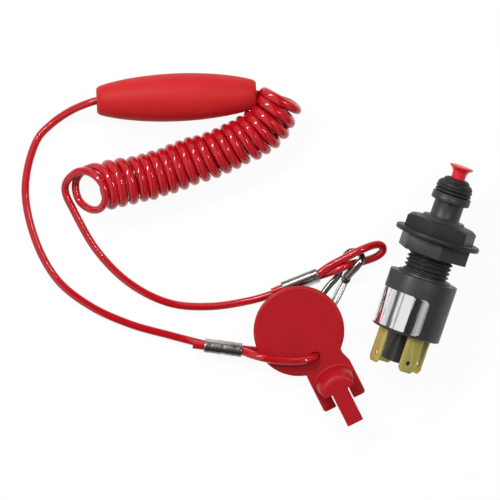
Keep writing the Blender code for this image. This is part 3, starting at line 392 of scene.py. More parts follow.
def surface_group():
    """Clouds, fine grain and streaks along one axis, as a colour, a roughness and a height."""
    group = bpy.data.node_groups.new("worked_surface", "ShaderNodeTree")
    sockets = [
        ("Vector", "NodeSocketVector", "INPUT"), ("Colour", "NodeSocketColor", "INPUT"),
        ("Shade", "NodeSocketColor", "INPUT"), ("Cloud Scale", "NodeSocketFloat", "INPUT"),
        ("Cloud Amount", "NodeSocketFloat", "INPUT"), ("Grain Scale", "NodeSocketFloat", "INPUT"),
        ("Grain Amount", "NodeSocketFloat", "INPUT"), ("Roughness", "NodeSocketFloat", "INPUT"),
        ("Roughness Spread", "NodeSocketFloat", "INPUT"), ("Colour", "NodeSocketColor", "OUTPUT"),
        ("Roughness", "NodeSocketFloat", "OUTPUT"), ("Height", "NodeSocketFloat", "OUTPUT"),
    ]
    for label, kind, side in sockets:
        group.interface.new_socket(label, in_out=side, socket_type=kind)
    nodes = group.nodes
    links = group.links
    source = nodes.new("NodeGroupInput")
    target = nodes.new("NodeGroupOutput")
    clouds = nodes.new("ShaderNodeTexNoise")
    clouds.inputs["Detail"].default_value = 4.0
    links.new(source.outputs["Vector"], clouds.inputs["Vector"])
    links.new(source.outputs["Cloud Scale"], clouds.inputs["Scale"])
    grain = nodes.new("ShaderNodeTexNoise")
    grain.inputs["Detail"].default_value = 2.0
    links.new(source.outputs["Vector"], grain.inputs["Vector"])
    links.new(source.outputs["Grain Scale"], grain.inputs["Scale"])
    spread = nodes.new("ShaderNodeMapRange")
    spread.inputs["From Min"].default_value = 0.35
    spread.inputs["From Max"].default_value = 0.7
    links.new(clouds.outputs["Fac"], spread.inputs["Value"])
    amount = maths(group, "MULTIPLY", spread.outputs["Result"], source.outputs["Cloud Amount"])
    speck = maths(group, "MULTIPLY_ADD", grain.outputs["Fac"], source.outputs["Grain Amount"], amount)
    blend = nodes.new("ShaderNodeMix")
    blend.data_type = "RGBA"
    blend.clamp_factor = True
    links.new(speck, blend.inputs["Factor"])
    links.new(source.outputs["Colour"], blend.inputs[6])
    links.new(source.outputs["Shade"], blend.inputs[7])
    links.new(blend.outputs[2], target.inputs["Colour"])
    base, reach = source.outputs["Roughness"], source.outputs["Roughness Spread"]
    links.new(maths(group, "MULTIPLY_ADD", speck, reach, base), target.inputs["Roughness"])
    links.new(grain.outputs["Fac"], target.inputs["Height"])
    return group


WORKED_SURFACE = surface_group()


def finish(
    name, colour, shade, clouds, grain, roughness,
    bump=0.00002, stretch=(1, 1, 1), place=None, **shader_values,
):
    """A finish whose colour runs between two tones.

    clouds and grain are (scale per metre, amount) pairs, roughness is (least, spread).
    """
    material = bpy.data.materials.new(name)
    material.use_nodes = True
    tree = material.node_tree
    shader = tree.nodes["Principled BSDF"]
    coordinates = tree.nodes.new("ShaderNodeTexCoord")
    mapping = tree.nodes.new("ShaderNodeMapping")
    mapping.vector_type = "TEXTURE"
    if place is not None:
        mapping.inputs["Location"].default_value = place.to_translation()
        mapping.inputs["Rotation"].default_value = place.to_euler()
    mapping.inputs["Scale"].default_value = stretch
    pattern = tree.nodes.new("ShaderNodeGroup")
    pattern.node_tree = WORKED_SURFACE
    tree.links.new(coordinates.outputs["Object"], mapping.inputs["Vector"])
    tree.links.new(mapping.outputs["Vector"], pattern.inputs["Vector"])
    values = {
        "Colour": (*colour, 1), "Shade": (*shade, 1),
        "Cloud Scale": clouds[0], "Cloud Amount": clouds[1],
        "Grain Scale": grain[0], "Grain Amount": grain[1],
        "Roughness": roughness[0], "Roughness Spread": roughness[1],
    }
    for label, value in values.items():
        pattern.inputs[label].default_value = value
    height = tree.nodes.new("ShaderNodeBump")
    height.inputs["Distance"].default_value = bump
    height.inputs["Strength"].default_value = 1.0
    tree.links.new(pattern.outputs["Height"], height.inputs["Height"])
    tree.links.new(pattern.outputs["Colour"], shader.inputs["Base Color"])
    tree.links.new(pattern.outputs["Roughness"], shader.inputs["Roughness"])
    tree.links.new(height.outputs["Normal"], shader.inputs["Normal"])
    for label, value in shader_values.items():
        shader.inputs[label.replace("_", " ")].default_value = value
    material.diffuse_color = (*colour, 1)
    return material


def make_finishes():
    """Each finish: its two tones, then clouds, grain and roughness, then its other values."""
    table = {
        "black_plastic": (
            (0.036, 0.036, 0.040), (0.022, 0.022, 0.025), (160, 0.7), (2600, 0.5), (0.34, 0.16),
            dict(bump=0.00003, place=SWITCH, Specular_IOR_Level=0.35),
        ),
        "grey_plastic": (
            (0.040, 0.041, 0.043), (0.020, 0.021, 0.022), (120, 0.6), (2400, 0.5), (0.36, 0.16),
            dict(bump=0.00003, place=SWITCH, Specular_IOR_Level=0.30),
        ),
        # A darker copy of the grey plastic for the front nut: painted shade.
        "grey_plastic_painted_shade": (
            (0.020, 0.020, 0.022), (0.012, 0.012, 0.013), (120, 0.6), (2400, 0.5), (0.38, 0.16),
            dict(bump=0.00003, place=SWITCH, Specular_IOR_Level=0.28),
        ),
        "black_rubber": (
            (0.008, 0.008, 0.008), (0.018, 0.019, 0.018), (220, 0.5), (1800, 0.4), (0.42, 0.2),
            dict(bump=0.00005, place=SWITCH, Specular_IOR_Level=0.28),
        ),
        "foil": (
            (0.86, 0.86, 0.87), (0.70, 0.70, 0.72), (260, 0.4), (900, 0.2), (0.05, 0.07),
            dict(bump=0.00003, stretch=(1, 1, 6), place=SWITCH, Metallic=1.0),
        ),
        "brass": (
            (0.66, 0.57, 0.17), (0.42, 0.35, 0.09), (260, 0.6), (1500, 0.35), (0.42, 0.15),
            dict(bump=0.00001, stretch=(1, 1, 14), place=SWITCH, Metallic=0.6),
        ),
        "steel": (
            (0.60, 0.60, 0.60), (0.40, 0.40, 0.41), (300, 0.5), (2000, 0.3), (0.25, 0.1),
            dict(Metallic=1.0),
        ),
        "red_button": (
            (0.72, 0.020, 0.030), (0.58, 0.012, 0.020), (300, 0.6), (2400, 0.2), (0.25, 0.1),
            dict(bump=0.00001, place=SWITCH, Specular_IOR_Level=0.35),
        ),
        "red_moulding": (
            (0.42, 0.007, 0.012), (0.36, 0.005, 0.010), (90, 0.7), (2200, 0.2), (0.34, 0.1),
            dict(bump=0.00002, place=KEY, Specular_IOR_Level=0.20),
        ),
        "red_cord": (
            (0.47, 0.005, 0.011), (0.38, 0.004, 0.009), (200, 0.5), (700, 0.2), (0.16, 0.06),
            dict(bump=0.00004, Specular_IOR_Level=0.08, Coat_Weight=0.8, Coat_Roughness=0.02),
        ),
        "red_foam": (
            (0.53, 0.013, 0.015), (0.45, 0.009, 0.012), (70, 0.6), (2600, 0.4), (0.46, 0.12),
            dict(bump=0.00006, Specular_IOR_Level=0.2),
        ),
        "nickel": (
            (0.50, 0.50, 0.47), (0.26, 0.26, 0.24), (240, 0.5), (1400, 0.1), (0.26, 0.10),
            dict(bump=0.00001, Metallic=1.0),
        ),
        # A darker copy of the nickel for the hook's eye and bar: painted shade for the dark reflections
        # on the bar.
        "nickel_painted_shade": (
            (0.25, 0.24, 0.215), (0.09, 0.085, 0.075), (240, 0.6), (1400, 0.3), (0.13, 0.12),
            dict(bump=0.00002, Metallic=1.0),
        ),
        "crimp_metal": (
            (0.46, 0.43, 0.40), (0.13, 0.11, 0.10), (170, 0.9), (1500, 0.2), (0.18, 0.12),
            dict(bump=0.00002, Metallic=1.0),
        ),
    }
    return {name: finish(name, *tones, **others) for name, (*tones, others) in table.items()}


# Cord


def smooth_route(points, longest=0.8 * MM):
    """A centripetal spline through the points, with a point at least every longest."""
    padded = [2 * points[0] - points[1], *points, 2 * points[-1] - points[-2]]
    dense = []
    for span in range(len(points) - 1):
        a, b, c, d = padded[span : span + 4]
        t1 = math.sqrt((b - a).length)
        t2 = t1 + math.sqrt((c - b).length)
        t3 = t2 + math.sqrt((d - c).length)
        samples = max(1, math.ceil((c - b).length / longest))
        for i in range(samples):
            t = t1 + (t2 - t1) * i / samples
            ab = a.lerp(b, t / t1)
            bc = b.lerp(c, (t - t1) / (t2 - t1))
            cd = c.lerp(d, (t - t2) / (t3 - t2))
            abc = ab.lerp(bc, t / t2)
            bcd = bc.lerp(cd, (t - t1) / (t3 - t1))
            dense.append(abc.lerp(bcd, (t - t1) / (t2 - t1)))
    return [*dense, points[-1].copy()]


def strand_centres(upper_side):
    """Where the lower and the upper strand cross a crimp sleeve's section: sideways, height."""
    across = upper_side * STRAND_SPACING * math.cos(STRAND_LEAN) / 2
    rise = STRAND_SPACING * math.sin(STRAND_LEAN)
    return (-across, SLEEVE_RADIUS), (across, SLEEVE_RADIUS + rise)


def strand_pair(place, heading, upper_side):
    """The ends of the lower and the upper strand's centre lines in a crimp sleeve."""
    stand = heading_frame(place, heading, 0)
    half = SLEEVE_LENGTH / 2
    return [
        [stand @ Vector((x, *centre)) for x in (-half, half)] for centre in strand_centres(upper_side)
    ]


def stub_end(strand):
    """Where a free end stops, past the sleeve."""
    return strand[0] + (strand[0] - strand[1]).normalized() * STUB_LENGTH * MM


def straight_run(first, last):
    inset = (last - first).normalized() * CORD_DIAMETER / 2 * MM
    return [first, first + inset, last - inset, last]


def half_turn(start, stop, axis, lean, way):
    """Half a turn of the coil without its last point, over the axis with way 1, under it with -1."""
    run = stop - start
    run.z = 0
    along = axis * run.dot(axis)
    across = run - along
    made = []
    for i in range(TURN_STEPS):
        phase = math.pi * i / TURN_STEPS
        point = start + along * (phase / math.pi) + across * (1 - math.cos(phase)) / 2
        point += axis * lean * math.sin(phase) * way * MM
        ease = (start.z - COIL_LIFT * MM) * max(0, math.cos(phase)) ** 2
        ease += (stop.z - COIL_LIFT * MM) * max(0, -math.cos(phase)) ** 2
        point.z = COIL_LIFT * MM + way * COIL_RISE * MM * math.sin(phase) + ease
        made.append(point)
    return made


def coil_points():
    pairs = []
    for number, (top, bottom) in enumerate(COIL_TURNS):
        top_height, bottom_height = FIRST_TURN_HEIGHTS.get(number, (COIL_LIFT, COIL_LIFT))
        pairs.append((from_pixel(*top, top_height), from_pixel(*bottom, bottom_height)))
    middles = [(top + bottom) / 2 for top, bottom in pairs]
    points = []
    for number, (top, bottom) in enumerate(pairs):
        before = middles[max(number - 1, 0)]
        after = middles[min(number + 1, len(middles) - 1)]
        axis = before - after
        axis.z = 0
        axis.normalize()
        column = (COIL_TURNS[number][0][0] + COIL_TURNS[number][1][0]) / 2
        lean = TURN_LEAN * max(0, min(1, (LEAN_START - column) / LEAN_RUN)) * PIXEL
        if number == len(pairs) - 1:
            lean = LAST_TURN_LEAN * PIXEL
        points += half_turn(bottom, top, axis, lean, 1)
        if number < len(pairs) - 1:
            points += half_turn(top, pairs[number + 1][1], axis, lean, -1)
    return [*points, pairs[-1][0]]


def cord_route():
    """The whole cord, from its free end at the key's sleeve to the one at the hook's sleeve."""
    key_low, key_high = strand_pair(*KEY_SLEEVE)
    hook_low, hook_high = strand_pair(*HOOK_SLEEVE)
    float_ends = [FLOAT @ Vector((0, 0, z)) for z in (-FLOAT_LENGTH / 2, FLOAT_LENGTH / 2)]
    points = [stub_end(key_high), *straight_run(*key_high)]
    points += [from_layout(*point) for point in KEY_LOOP_ROUTE]
    points += straight_run(*reversed(key_low))
    points += [from_layout(*point) for point in KEY_SIDE_ROUTE]
    points += straight_run(*float_ends)
    points += [from_pixel(*point) for point in COIL_TAIL_PIXELS]
    points += coil_points()
    points += [from_pixel(*point) for point in COIL_HEAD_PIXELS]
    points += [from_layout(*point) for point in HOOK_SIDE_ROUTE]
    points += straight_run(*hook_low)
    points += [from_layout(*point) for point in HOOK_LOOP_ROUTE]
    points += straight_run(*reversed(hook_high))
    points.append(stub_end(hook_high))
    return smooth_route(points)


def turn_stoutness():
    """For each turn of the coil, how stout its cord is: it fills the pitch to the next turn."""
    turns = [(Vector(top) - Vector(bottom)).normalized() for top, bottom in COIL_TURNS]
    middles = [(Vector(top) + Vector(bottom)) / 2 for top, bottom in COIL_TURNS]
    steps = [after - here for here, after in zip(middles, middles[1:])]
    pitches = [abs(step.cross(turn)) * PIXEL for step, turn in zip(steps, turns)]
    least, most = COIL_STOUT
    return [max(least, min(most, pitch / CORD_DIAMETER)) for pitch in pitches]


def round_bar(name, route, diameter, facets):
    """A curve with a round section along the route."""
    curve = bpy.data.curves.new(name, "CURVE")
    curve.dimensions = "3D"
    curve.bevel_depth = diameter / 2 * MM
    curve.bevel_resolution = facets
    curve.use_fill_caps = True
    spline = curve.splines.new("POLY")
    spline.points.add(len(route) - 1)
    for target, point in zip(spline.points, route):
        target.co = (*point, 1.0)
    piece = bpy.data.objects.new(name, curve)
    bpy.context.scene.collection.objects.link(piece)
    return piece


def make_cord(material):
    """The cord along its whole route, stouter in the coil."""
    route = cord_route()
    piece = round_bar("lanyard_cord", route, CORD_DIAMETER, 6)
    coil = coil_points()
    first, last = (
        min(range(len(route)), key=lambda i: (route[i] - end).length) for end in (coil[0], coil[-1])
    )
    stout = turn_stoutness()
    spline = piece.data.splines[0]
    for number, target in enumerate(spline.points):
        share = max(0, min(0.999, (number - first) / (last - first))) * (len(stout) - 1)
        here = stout[int(share)] + (stout[int(share) + 1] - stout[int(share)]) * (share % 1)
        inside = max(0, min(1, min(number - first, last - number) / STOUT_RUN))
        target.radius = 1 + (here - 1) * inside
    spline.use_smooth = True
    piece.data.materials.append(material)
    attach(piece, "switch")
    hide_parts("cord_key_side", "cord_coil", "cord_hook_side")
    return piece


# Pieces on the cord


def make_float(material):
    """A barrel with flat ends and rounded rims, bored for the cord."""
    half = FLOAT_LENGTH / 2
    rim = 1.6
    belly = FLOAT_RADIUS - FLOAT_END_RADIUS
    stations = [-half + rim * 0.6 + (FLOAT_LENGTH - rim * 1.2) * i / 24 for i in range(25)]
    barrel = [(FLOAT_END_RADIUS + belly * (1 - (s / half) ** 2) ** 0.8, s) for s in stations]
    end = FLOAT_END_RADIUS - 0.6
    last = [(end + 0.45, half - 0.25), (end, half), (2.6, half), (2.2, half - 0.1), (1.9, half - 0.5)]
    profile = [(radius, -height) for radius, height in reversed(last)] + barrel + last
    piece = turned("lanyard_float", profile, 64)
    return put(piece, FLOAT, "switch", "red_foam", material, "float", angle=50)


def make_sleeve(name, node, placing, material):
    """A pressed obround sleeve round two strands, with crimp marks and a waist between them."""
    place, heading, upper_side = placing
    low, high = strand_centres(upper_side)
    turn = math.degrees(math.atan2(high[1] - low[1], high[0] - low[0]))
    outline = arc(SLEEVE_RADIUS, turn + 90, turn + 270, 14, low)
    outline += arc(SLEEVE_RADIUS, turn - 90, turn + 90, 14, high)
    piece = drawn_line(name, [(x, y, -SLEEVE_LENGTH / 2) for x, y in outline], True)
    rows = 30
    step = (0, 0, SLEEVE_LENGTH / rows)
    for _ in range(rows):
        bpy.ops.mesh.extrude_region_move(TRANSFORM_OT_translate={"value": step})
    close_up(piece)
    middle = Vector(((low[0] + high[0]) / 2, (low[1] + high[1]) / 2, 0))
    waist = Vector((high[0] - low[0], high[1] - low[1], 0)).normalized()
    side = Vector((-waist.y, waist.x, 0))
    for vertex in piece.data.vertices:
        off = vertex.co - middle
        off.z = 0
        sideways = off.dot(side)
        pinch = 0.22 * math.exp(-(off.dot(waist) / 0.9) ** 2)
        marks = 0.10 * max(0, math.cos(vertex.co.z / SLEEVE_LENGTH * 3 * math.tau)) ** 3
        flare = 0.10 * max(0, abs(vertex.co.z) / (SLEEVE_LENGTH / 2) - 0.93) / 0.07
        vertex.co -= side * math.copysign(pinch + marks - flare, sideways) * min(1, abs(sideways))
    wall = piece.modifiers.new("wall", "SOLIDIFY")
    wall.thickness = SLEEVE_WALL
    wall.offset = -1
    softened(piece, 0.09, 2, 50)
    stand = heading_frame(place, heading, 0) @ SIDEWAYS
    return put(piece, stand, "switch", "crimp_metal", material, node, angle=50)


# Key


def rim_rounded(radius, low, high, rim):
    """Profile of a disc whose rim is rounded."""
    turns = [math.radians(15 * i) for i in range(7)]
    inner = radius - rim
    lower = [(inner + rim * math.sin(t), low + rim - rim * math.cos(t)) for t in turns]
    upper = [(inner + rim * math.cos(t), high - rim + rim * math.sin(t)) for t in turns]
    return [(0, low), *lower, *upper, (0, high)]


def hood_form(name, back, mouth, width, top_back, top_mouth, top_width, low, high):
    """A domed hood: half an ellipse below drawn in along a curve to half an ellipse above."""
    def outline(start, stop, wide):
        depth = stop - start
        turns = [math.radians(12 * i) for i in range(16)]
        return [(stop - depth * math.sin(t), wide / 2 * math.cos(t)) for t in turns]
    lower = outline(back, mouth, width)
    upper = outline(top_back, top_mouth, top_width)
    rises = [0, 0.2, 0.4, 0.55, 0.7, 0.8, 0.9, 0.96, 1]
    heights = [low + (high - low) * rise for rise in rises]
    piece = drawn_line(name, [(x, y, low) for x, y in lower], True)
    bpy.ops.mesh.edge_face_add()
    for below, above in zip(heights, heights[1:]):
        bpy.ops.mesh.extrude_region_move(TRANSFORM_OT_translate={"value": (0, 0, above - below)})
    bpy.ops.object.mode_set(mode="OBJECT")
    goals = dict(zip([(round(x, 3), round(y, 3)) for x, y in lower], upper))
    for vertex in piece.data.vertices:
        rise = max(0.0, min(1.0, (vertex.co.z - low) / (high - low)))
        drawn_in = 1 - math.sqrt(max(0.0, 1 - rise * rise)) if rise < 0.999 else 1.0
        goal = goals[(round(vertex.co.x, 3), round(vertex.co.y, 3))]
        vertex.co.x += (goal[0] - vertex.co.x) * drawn_in
        vertex.co.y += (goal[1] - vertex.co.y) * drawn_in
    return close_up(piece)


def make_key(material):
    """Thumb disc, fork, hood and tongue in one moulding."""
    piece = turned("key_moulding", rim_rounded(DISC_RADIUS, 0, KEY_PLATE, 0.8), 96, closed=False)
    piece.location.y = DISC_OFFSET
    corner = (FORK_REACH - FORK_TIP, FORK_HALF - FORK_TIP)
    tip_left = arc(FORK_TIP, -90, 0, 4, (corner[0], -corner[1]))
    tip_right = arc(FORK_TIP, 0, 90, 4, corner)
    fork = [(5.2, -6.8), (16.8, -FORK_HALF), *tip_left, *tip_right]
    fork += [(16.8, FORK_HALF), (13.5, 6.8), (5.2, 6.8)]
    combined(piece, plate("fork", fork, 0, KEY_PLATE), "UNION")
    outer = hood_form("hood", 15.8, 20.4, 13.6, 19.5, 23.8, 11.3, KEY_PLATE / 2, HOOD_TOP)
    combined(piece, outer, "UNION")
    inner = hood_form("hollow", 17.4, 23.6, 10.4, 21.1, 27.0, 8.1, KEY_PLATE, HOLLOW_TOP)
    combined(piece, inner, "DIFFERENCE")
    tongue = [(21.1, -TONGUE_HALF), (TONGUE_REACH, -TONGUE_HALF)]
    tongue += [(TONGUE_REACH, TONGUE_HALF), (21.1, TONGUE_HALF)]
    combined(piece, plate("tongue", tongue, HOLLOW_TOP + 0.02, HOOD_TOP), "UNION")
    slot = [(30, -SLOT_RADIUS), (30, SLOT_RADIUS), *arc(SLOT_RADIUS, 90, 270, 20, (SLOT_STATION, 0))]
    combined(piece, plate("slot", slot, -0.5, 2.9), "DIFFERENCE")
    x, y = CORD_HOLE_PLACE
    wide, high = CORD_HOLE_RADII
    turns = [math.tau * i / 32 for i in range(32)]
    oval = [(x + wide * math.cos(t), y + high * math.sin(t)) for t in turns]
    combined(piece, plate("cord_hole", oval, -1, 4), "DIFFERENCE")
    only(piece)
    bpy.ops.object.transform_apply(location=True, rotation=True, scale=True)
    moulded(piece, 0.24, 5)
    return put(piece, KEY, "switch", "red_moulding", material, "key", angle=60)


# Snap hook


def swept_bar(name, points, diameter, stout=0):
    """A round bar along a route, in metres, stouter over its first route points."""
    route = smooth_route(points, 0.4 * MM)
    piece = round_bar(name, route, diameter, 5)
    for number, target in enumerate(piece.data.splines[0].points):
        target.radius = 1 + EYE_STOUT * max(0, min(1, (stout - number) / 8, number / 3))
    only(piece)
    bpy.ops.object.convert(target="MESH")
    piece = bpy.context.active_object
    edit(piece)
    bpy.ops.mesh.remove_doubles(threshold=0.000002)
    bpy.ops.mesh.normals_make_consistent(inside=False)
    bpy.ops.object.mode_set(mode="OBJECT")
    return piece


def welded(piece, *others):
    deselect()
    for part in (piece, *others):
        part.select_set(True)
    bpy.context.view_layer.objects.active = piece
    bpy.ops.object.transform_apply(location=True, rotation=True, scale=True)
    bpy.ops.object.join()
    return piece


def make_hook(material, gate_material, pin_material):
    """Eye, bent bar and lugs in one, with a gate of bent wire on a rivet."""
    bar = [from_layout(*point) for point in HOOK_BAR_ROUTE]
    piece = swept_bar("hook_casting", bar, HOOK_WIRE, EYE_POINTS)
    lugs = plate("lugs", arc(LUG_RADIUS, 0, 350, 35), 0, LUG_TOP)
    slot = plate("slot", [(4.2, -1.45), (4.2, 1.45), *arc(1.45, 90, 270, 16)], *LUG_SLOT)
    combined(lugs, slot, "DIFFERENCE")
    lugs.matrix_world = GATE
    moulded(welded(piece, lugs), 0.16 * MM, 3)
    # The eye and bar take the darker copy of the nickel: painted shade.
    put(piece, Matrix(), "switch", "nickel", material, "hook_body", angle=60)

    wire = [GATE @ Vector((x, y, GATE_HEIGHT)) for x, y in GATE_ROUTE]
    gate = swept_bar("hook_gate_bar", wire, GATE_WIRE)
    barrel = softened(plate("barrel", arc(1.15, 0, 350, 35), 0.85, 1.95), 0.12, 2)
    hole = plate("hole", arc(0.65, 0, 345, 23), -0.3, 3.1)
    for part, operation in ((barrel, "UNION"), (hole, "DIFFERENCE")):
        part.matrix_world = GATE
        combined(gate, part, operation)
    put(gate, Matrix(), "gate", "nickel", gate_material, "hook_gate", angle=60)

    profile = [(0, 0), (0.45, 0), (0.45, 2.7), (0.38, 2.78), (0, LUG_TOP)]
    rivet = turned("gate_rivet", profile, 24, closed=False)
    put(rivet, GATE, "switch", "steel", pin_material, "gate_pin")
    return [piece, gate, rivet]


# Switch


def cut_thread(piece):
    """Presses a thread into the stem: a point moves in by the depth at its place on the helix."""
    for vertex in piece.data.vertices:
        x, y, height = vertex.co
        radius = math.hypot(x, y)
        if not THREAD_LOW + 0.05 < height < THREAD_TOP + 0.01 or radius < 7.5:
            continue
        phase = (height / PITCH - math.atan2(y, x) / math.tau) % 1.0
        tooth = max(0.0, min(1.0, (1 - abs(2 * phase - 1)) * 1.25 - 0.1))
        depth = THREAD_DEPTH * (1 - tooth)
        depth *= min(1.0, (height - THREAD_LOW) / 0.6, max(0.0, THREAD_END - height))
        crown = 0.15 * max(0.0, min(1.0, height - THREAD_END))
        beyond = (height - THREAD_CHAMFER_LOW) / (THREAD_TOP - THREAD_CHAMFER_LOW)
        chamfer = 1.15 * max(0.0, beyond)
        wanted = THREAD_RADIUS + crown - max(depth, chamfer)
        vertex.co.x = x * wanted / radius
        vertex.co.y = y * wanted / radius


def make_housing(material):
    """Moulded cup, boss, threaded stem, neck and collar in one piece."""
    rows = 168
    heights = [THREAD_LOW + (THREAD_TOP - THREAD_LOW) * i / rows for i in range(rows + 1)]
    thread = [(THREAD_RADIUS, height) for height in heights]
    profile = [
        (10.4, 0), (11.2, 0), (11.55, 0.08), (11.82, 0.3), (HOUSING_RADIUS, 0.6),
        (HOUSING_RADIUS, 19.7), (11.86, 19.87), (11.72, 19.97), (11.55, 20.0), (9.5, 20.0),
        (9.28, 20.08), (9.2, 20.25), (9.2, 20.6), (9.1, 20.75), (8.9, THREAD_LOW),
        *thread,
        (5.9, THREAD_TOP), (5.4, 41.45), (5.15, 41.9), (5.15, 46.7), (5.25, 47.0), (5.5, 47.1),
        (6.2, 47.1), (6.6, 47.25), (6.75, 47.6), (6.75, 48.7), (6.62, 48.9), (6.62, 49.1), (6.75, 49.25),
        (6.75, 49.6), (6.6, 49.8), (4.0, 49.8), (4.0, 52.6), (2.4, 52.6), (2.4, 18.1), (10.4, 18.1),
    ]
    piece = turned("switch_housing", profile, 96)
    cut_thread(piece)
    return put(piece, SWITCH, "switch", "black_plastic", material, "housing", angle=40)


def make_label(material):
    """Bare foil with rounded corners, wrapped round the housing."""
    deselect()
    bpy.ops.mesh.primitive_grid_add(x_subdivisions=72, y_subdivisions=20, size=2)
    piece = bpy.context.active_object
    piece.name = "label_foil"
    start, stop = LABEL_SPAN
    radius = HOUSING_RADIUS + 0.15
    half_run = math.radians(stop - start) / 2 * radius
    half_rise = LABEL_HEIGHT / 2
    for vertex in piece.data.vertices:
        a, b, _ = vertex.co
        rise = b * half_rise
        over = max(0.0, abs(rise) - (half_rise - LABEL_CORNER))
        rounding = math.sqrt(max(0.0, LABEL_CORNER ** 2 - over ** 2))
        run = a * (half_run - LABEL_CORNER + rounding)
        turn = math.radians((start + stop) / 2) + run / radius
        vertex.co = (radius * math.cos(turn), radius * math.sin(turn), LABEL_LOW + half_rise + rise)
    edit(piece)
    bpy.ops.mesh.normals_make_consistent(inside=False)
    bpy.ops.object.mode_set(mode="OBJECT")
    middle = piece.data.polygons[len(piece.data.polygons) // 2]
    if middle.normal.x * middle.center.x + middle.normal.y * middle.center.y < 0:
        piece.data.flip_normals()
    wall = piece.modifiers.new("foil", "SOLIDIFY")
    wall.thickness = 0.13
    wall.offset = -1
    apply_all(piece)
    return put(piece, SWITCH, "switch", "foil", material, "label")


def make_plug(material):
    """Plug in the housing's mouth, with a square post between the terminals."""
    profile = [(0, 0.3), (9.6, 0.3), (9.9, 0.45), (10.1, 0.8), (10.1, 4.0), (0, 4.0)]
    piece = turned("terminal_plug", profile, 64, closed=False)
    half = POST_HALF
    short = half - POST_CHAMFER
    outline = [(half, -short), (half, short), (short, half), (-short, half)]
    outline += [(-half, short), (-half, -short), (-short, -half), (short, -half)]
    post = softened(plate("post", outline, -10.2, 2.0), 0.18, 2)
    post.rotation_euler.z = math.radians(BLADE_ANGLES[0])
    combined(piece, post, "UNION")
    for angle in BLADE_ANGLES:
        slot = plate("slot", [(7.6, -3.45), (9.0, -3.45), (9.0, 3.45), (7.6, 3.45)], -0.5, 4.5)
        slot.rotation_euler.z = math.radians(angle)
        combined(piece, slot, "DIFFERENCE")
    return put(piece, SWITCH, "switch", "black_plastic", material, "terminal_base")


def make_blades(material):
    """Four flat blades with chamfered tips and a punched hole, each with a foot inside."""
    half = BLADE_HALF
    tip = half - BLADE_TIP_CHAMFER
    shoulder = BLADE_TIP + BLADE_TIP_CHAMFER
    outline = [(-tip, BLADE_TIP), (tip, BLADE_TIP), (half, shoulder)]
    outline += [(half, BLADE_TOP), (-half, BLADE_TOP), (-half, shoulder)]
    pattern = plate("blade", outline, -BLADE_DEEP, BLADE_DEEP)
    foot = [(-half, 5.4), (half, 5.4), (half, BLADE_TOP), (-half, BLADE_TOP)]
    combined(pattern, plate("foot", foot, -3.2, BLADE_DEEP), "UNION")
    bore(pattern, 0.85, -1, 1, (0, -8.9), 24)
    softened(pattern, 0.14, 2)
    stand = Matrix.Translation((BLADE_RADIUS, 0, 0)) @ SIDEWAYS
    for number, angle in enumerate(BLADE_ANGLES, 1):
        blade = pattern.copy()
        blade.data = pattern.data.copy()
        blade.name = f"blade_{number}"
        bpy.context.scene.collection.objects.link(blade)
        place = SWITCH @ Matrix.Rotation(math.radians(angle), 4, "Z") @ stand
        put(blade, place, "switch", "brass", material, f"terminal_{number}")
    bpy.data.objects.remove(pattern)


def hexagon(turn):
    return arc(NUT_CORNER, turn, turn + 300, 5)


def make_nuts(material, front_nut_painted_shade):
    """A plain hexagon behind, and one with a flange and turned-down corners in front."""
    rear = plate("rear_hex_nut", hexagon(12.0), 28.1, 33.2)
    bore(rear, NUT_BORE, 27, 34)
    softened(rear, 0.14, 2, 22)
    put(rear, SWITCH, "lock_nut", "grey_plastic", material, "rear_nut")
    flange = [(0, 33.5), (14.2, 33.5), (14.6, 33.6), (14.8, 33.95), (14.8, 34.7), (14.6, 35.05)]
    flange += [(14.2, 35.2), (0, 35.2)]
    front = turned("front_flange_nut", flange, 96, closed=False)
    low, high = 34.8, 40.0
    corner = NUT_CORNER + 0.3
    cone = [(0, low), (corner, low), (corner, 38.73), (corner - 2.2, high), (0, high)]
    top = plate("hexagon", hexagon(46.0), low, high)
    combined(top, turned("corners", cone, 96, closed=False), "INTERSECT")
    softened(top, 0.45, 3, 22)
    combined(front, top, "UNION")
    bore(front, NUT_BORE, 33, 41)
    edit(front)
    bpy.ops.mesh.fill_holes(sides=4)
    bpy.ops.object.mode_set(mode="OBJECT")
    # The front nut takes the darker copy of the grey plastic: painted shade.
    put(front, SWITCH, "flange_nut", "grey_plastic", front_nut_painted_shade, "front_nut")


def make_boot(material):
    """Rubber boot with a bead, a groove and a folded dome."""
    profile = [
        (4.3, 50.1), (6.0, 50.1), (6.22, 50.2), (6.3, 50.4), (6.3, 50.8), (6.2, 51.0), (5.95, 51.1),
        (5.85, 51.25), (5.95, 51.4), (6.2, 51.48), (6.32, 51.7), (6.34, 52.0), (6.26, 52.25),
        (6.08, 52.35), (6.02, 52.45), (6.12, 52.65), (6.12, 52.95), (5.95, 53.4), (5.6, 53.85),
        (5.15, 54.2), (4.8, 54.32), (4.62, 54.38), (4.62, 54.55), (4.5, 54.85), (4.2, 55.15),
        (3.85, 55.42), (3.5, 55.56), (3.2, 55.6), (2.95, 55.58), (2.75, 55.4), (2.75, 53.6), (4.3, 52.9),
    ]
    piece = turned("rubber_boot", profile, 72)
    return put(piece, SWITCH, "switch", "black_rubber", material, "boot", angle=45)


def make_button(material):
    """Stem and flared head."""
    profile = [
        (0, 57.5), (1.5, 57.5), (1.5, 52.9), (2.45, 52.9), (2.45, 57.0), (2.5, 57.5), (2.65, 58.0),
        (2.95, 58.5), (3.35, 58.95), (3.85, 59.3), (4.08, 59.45), (4.15, 59.65), (4.1, 59.85),
        (3.9, 60.0), (3.0, 60.1), (1.5, 60.18), (0, 60.2),
    ]
    piece = turned("pull_button", profile, 72, closed=False)
    return put(piece, SWITCH, "actuator", "red_button", material, "button", angle=45)


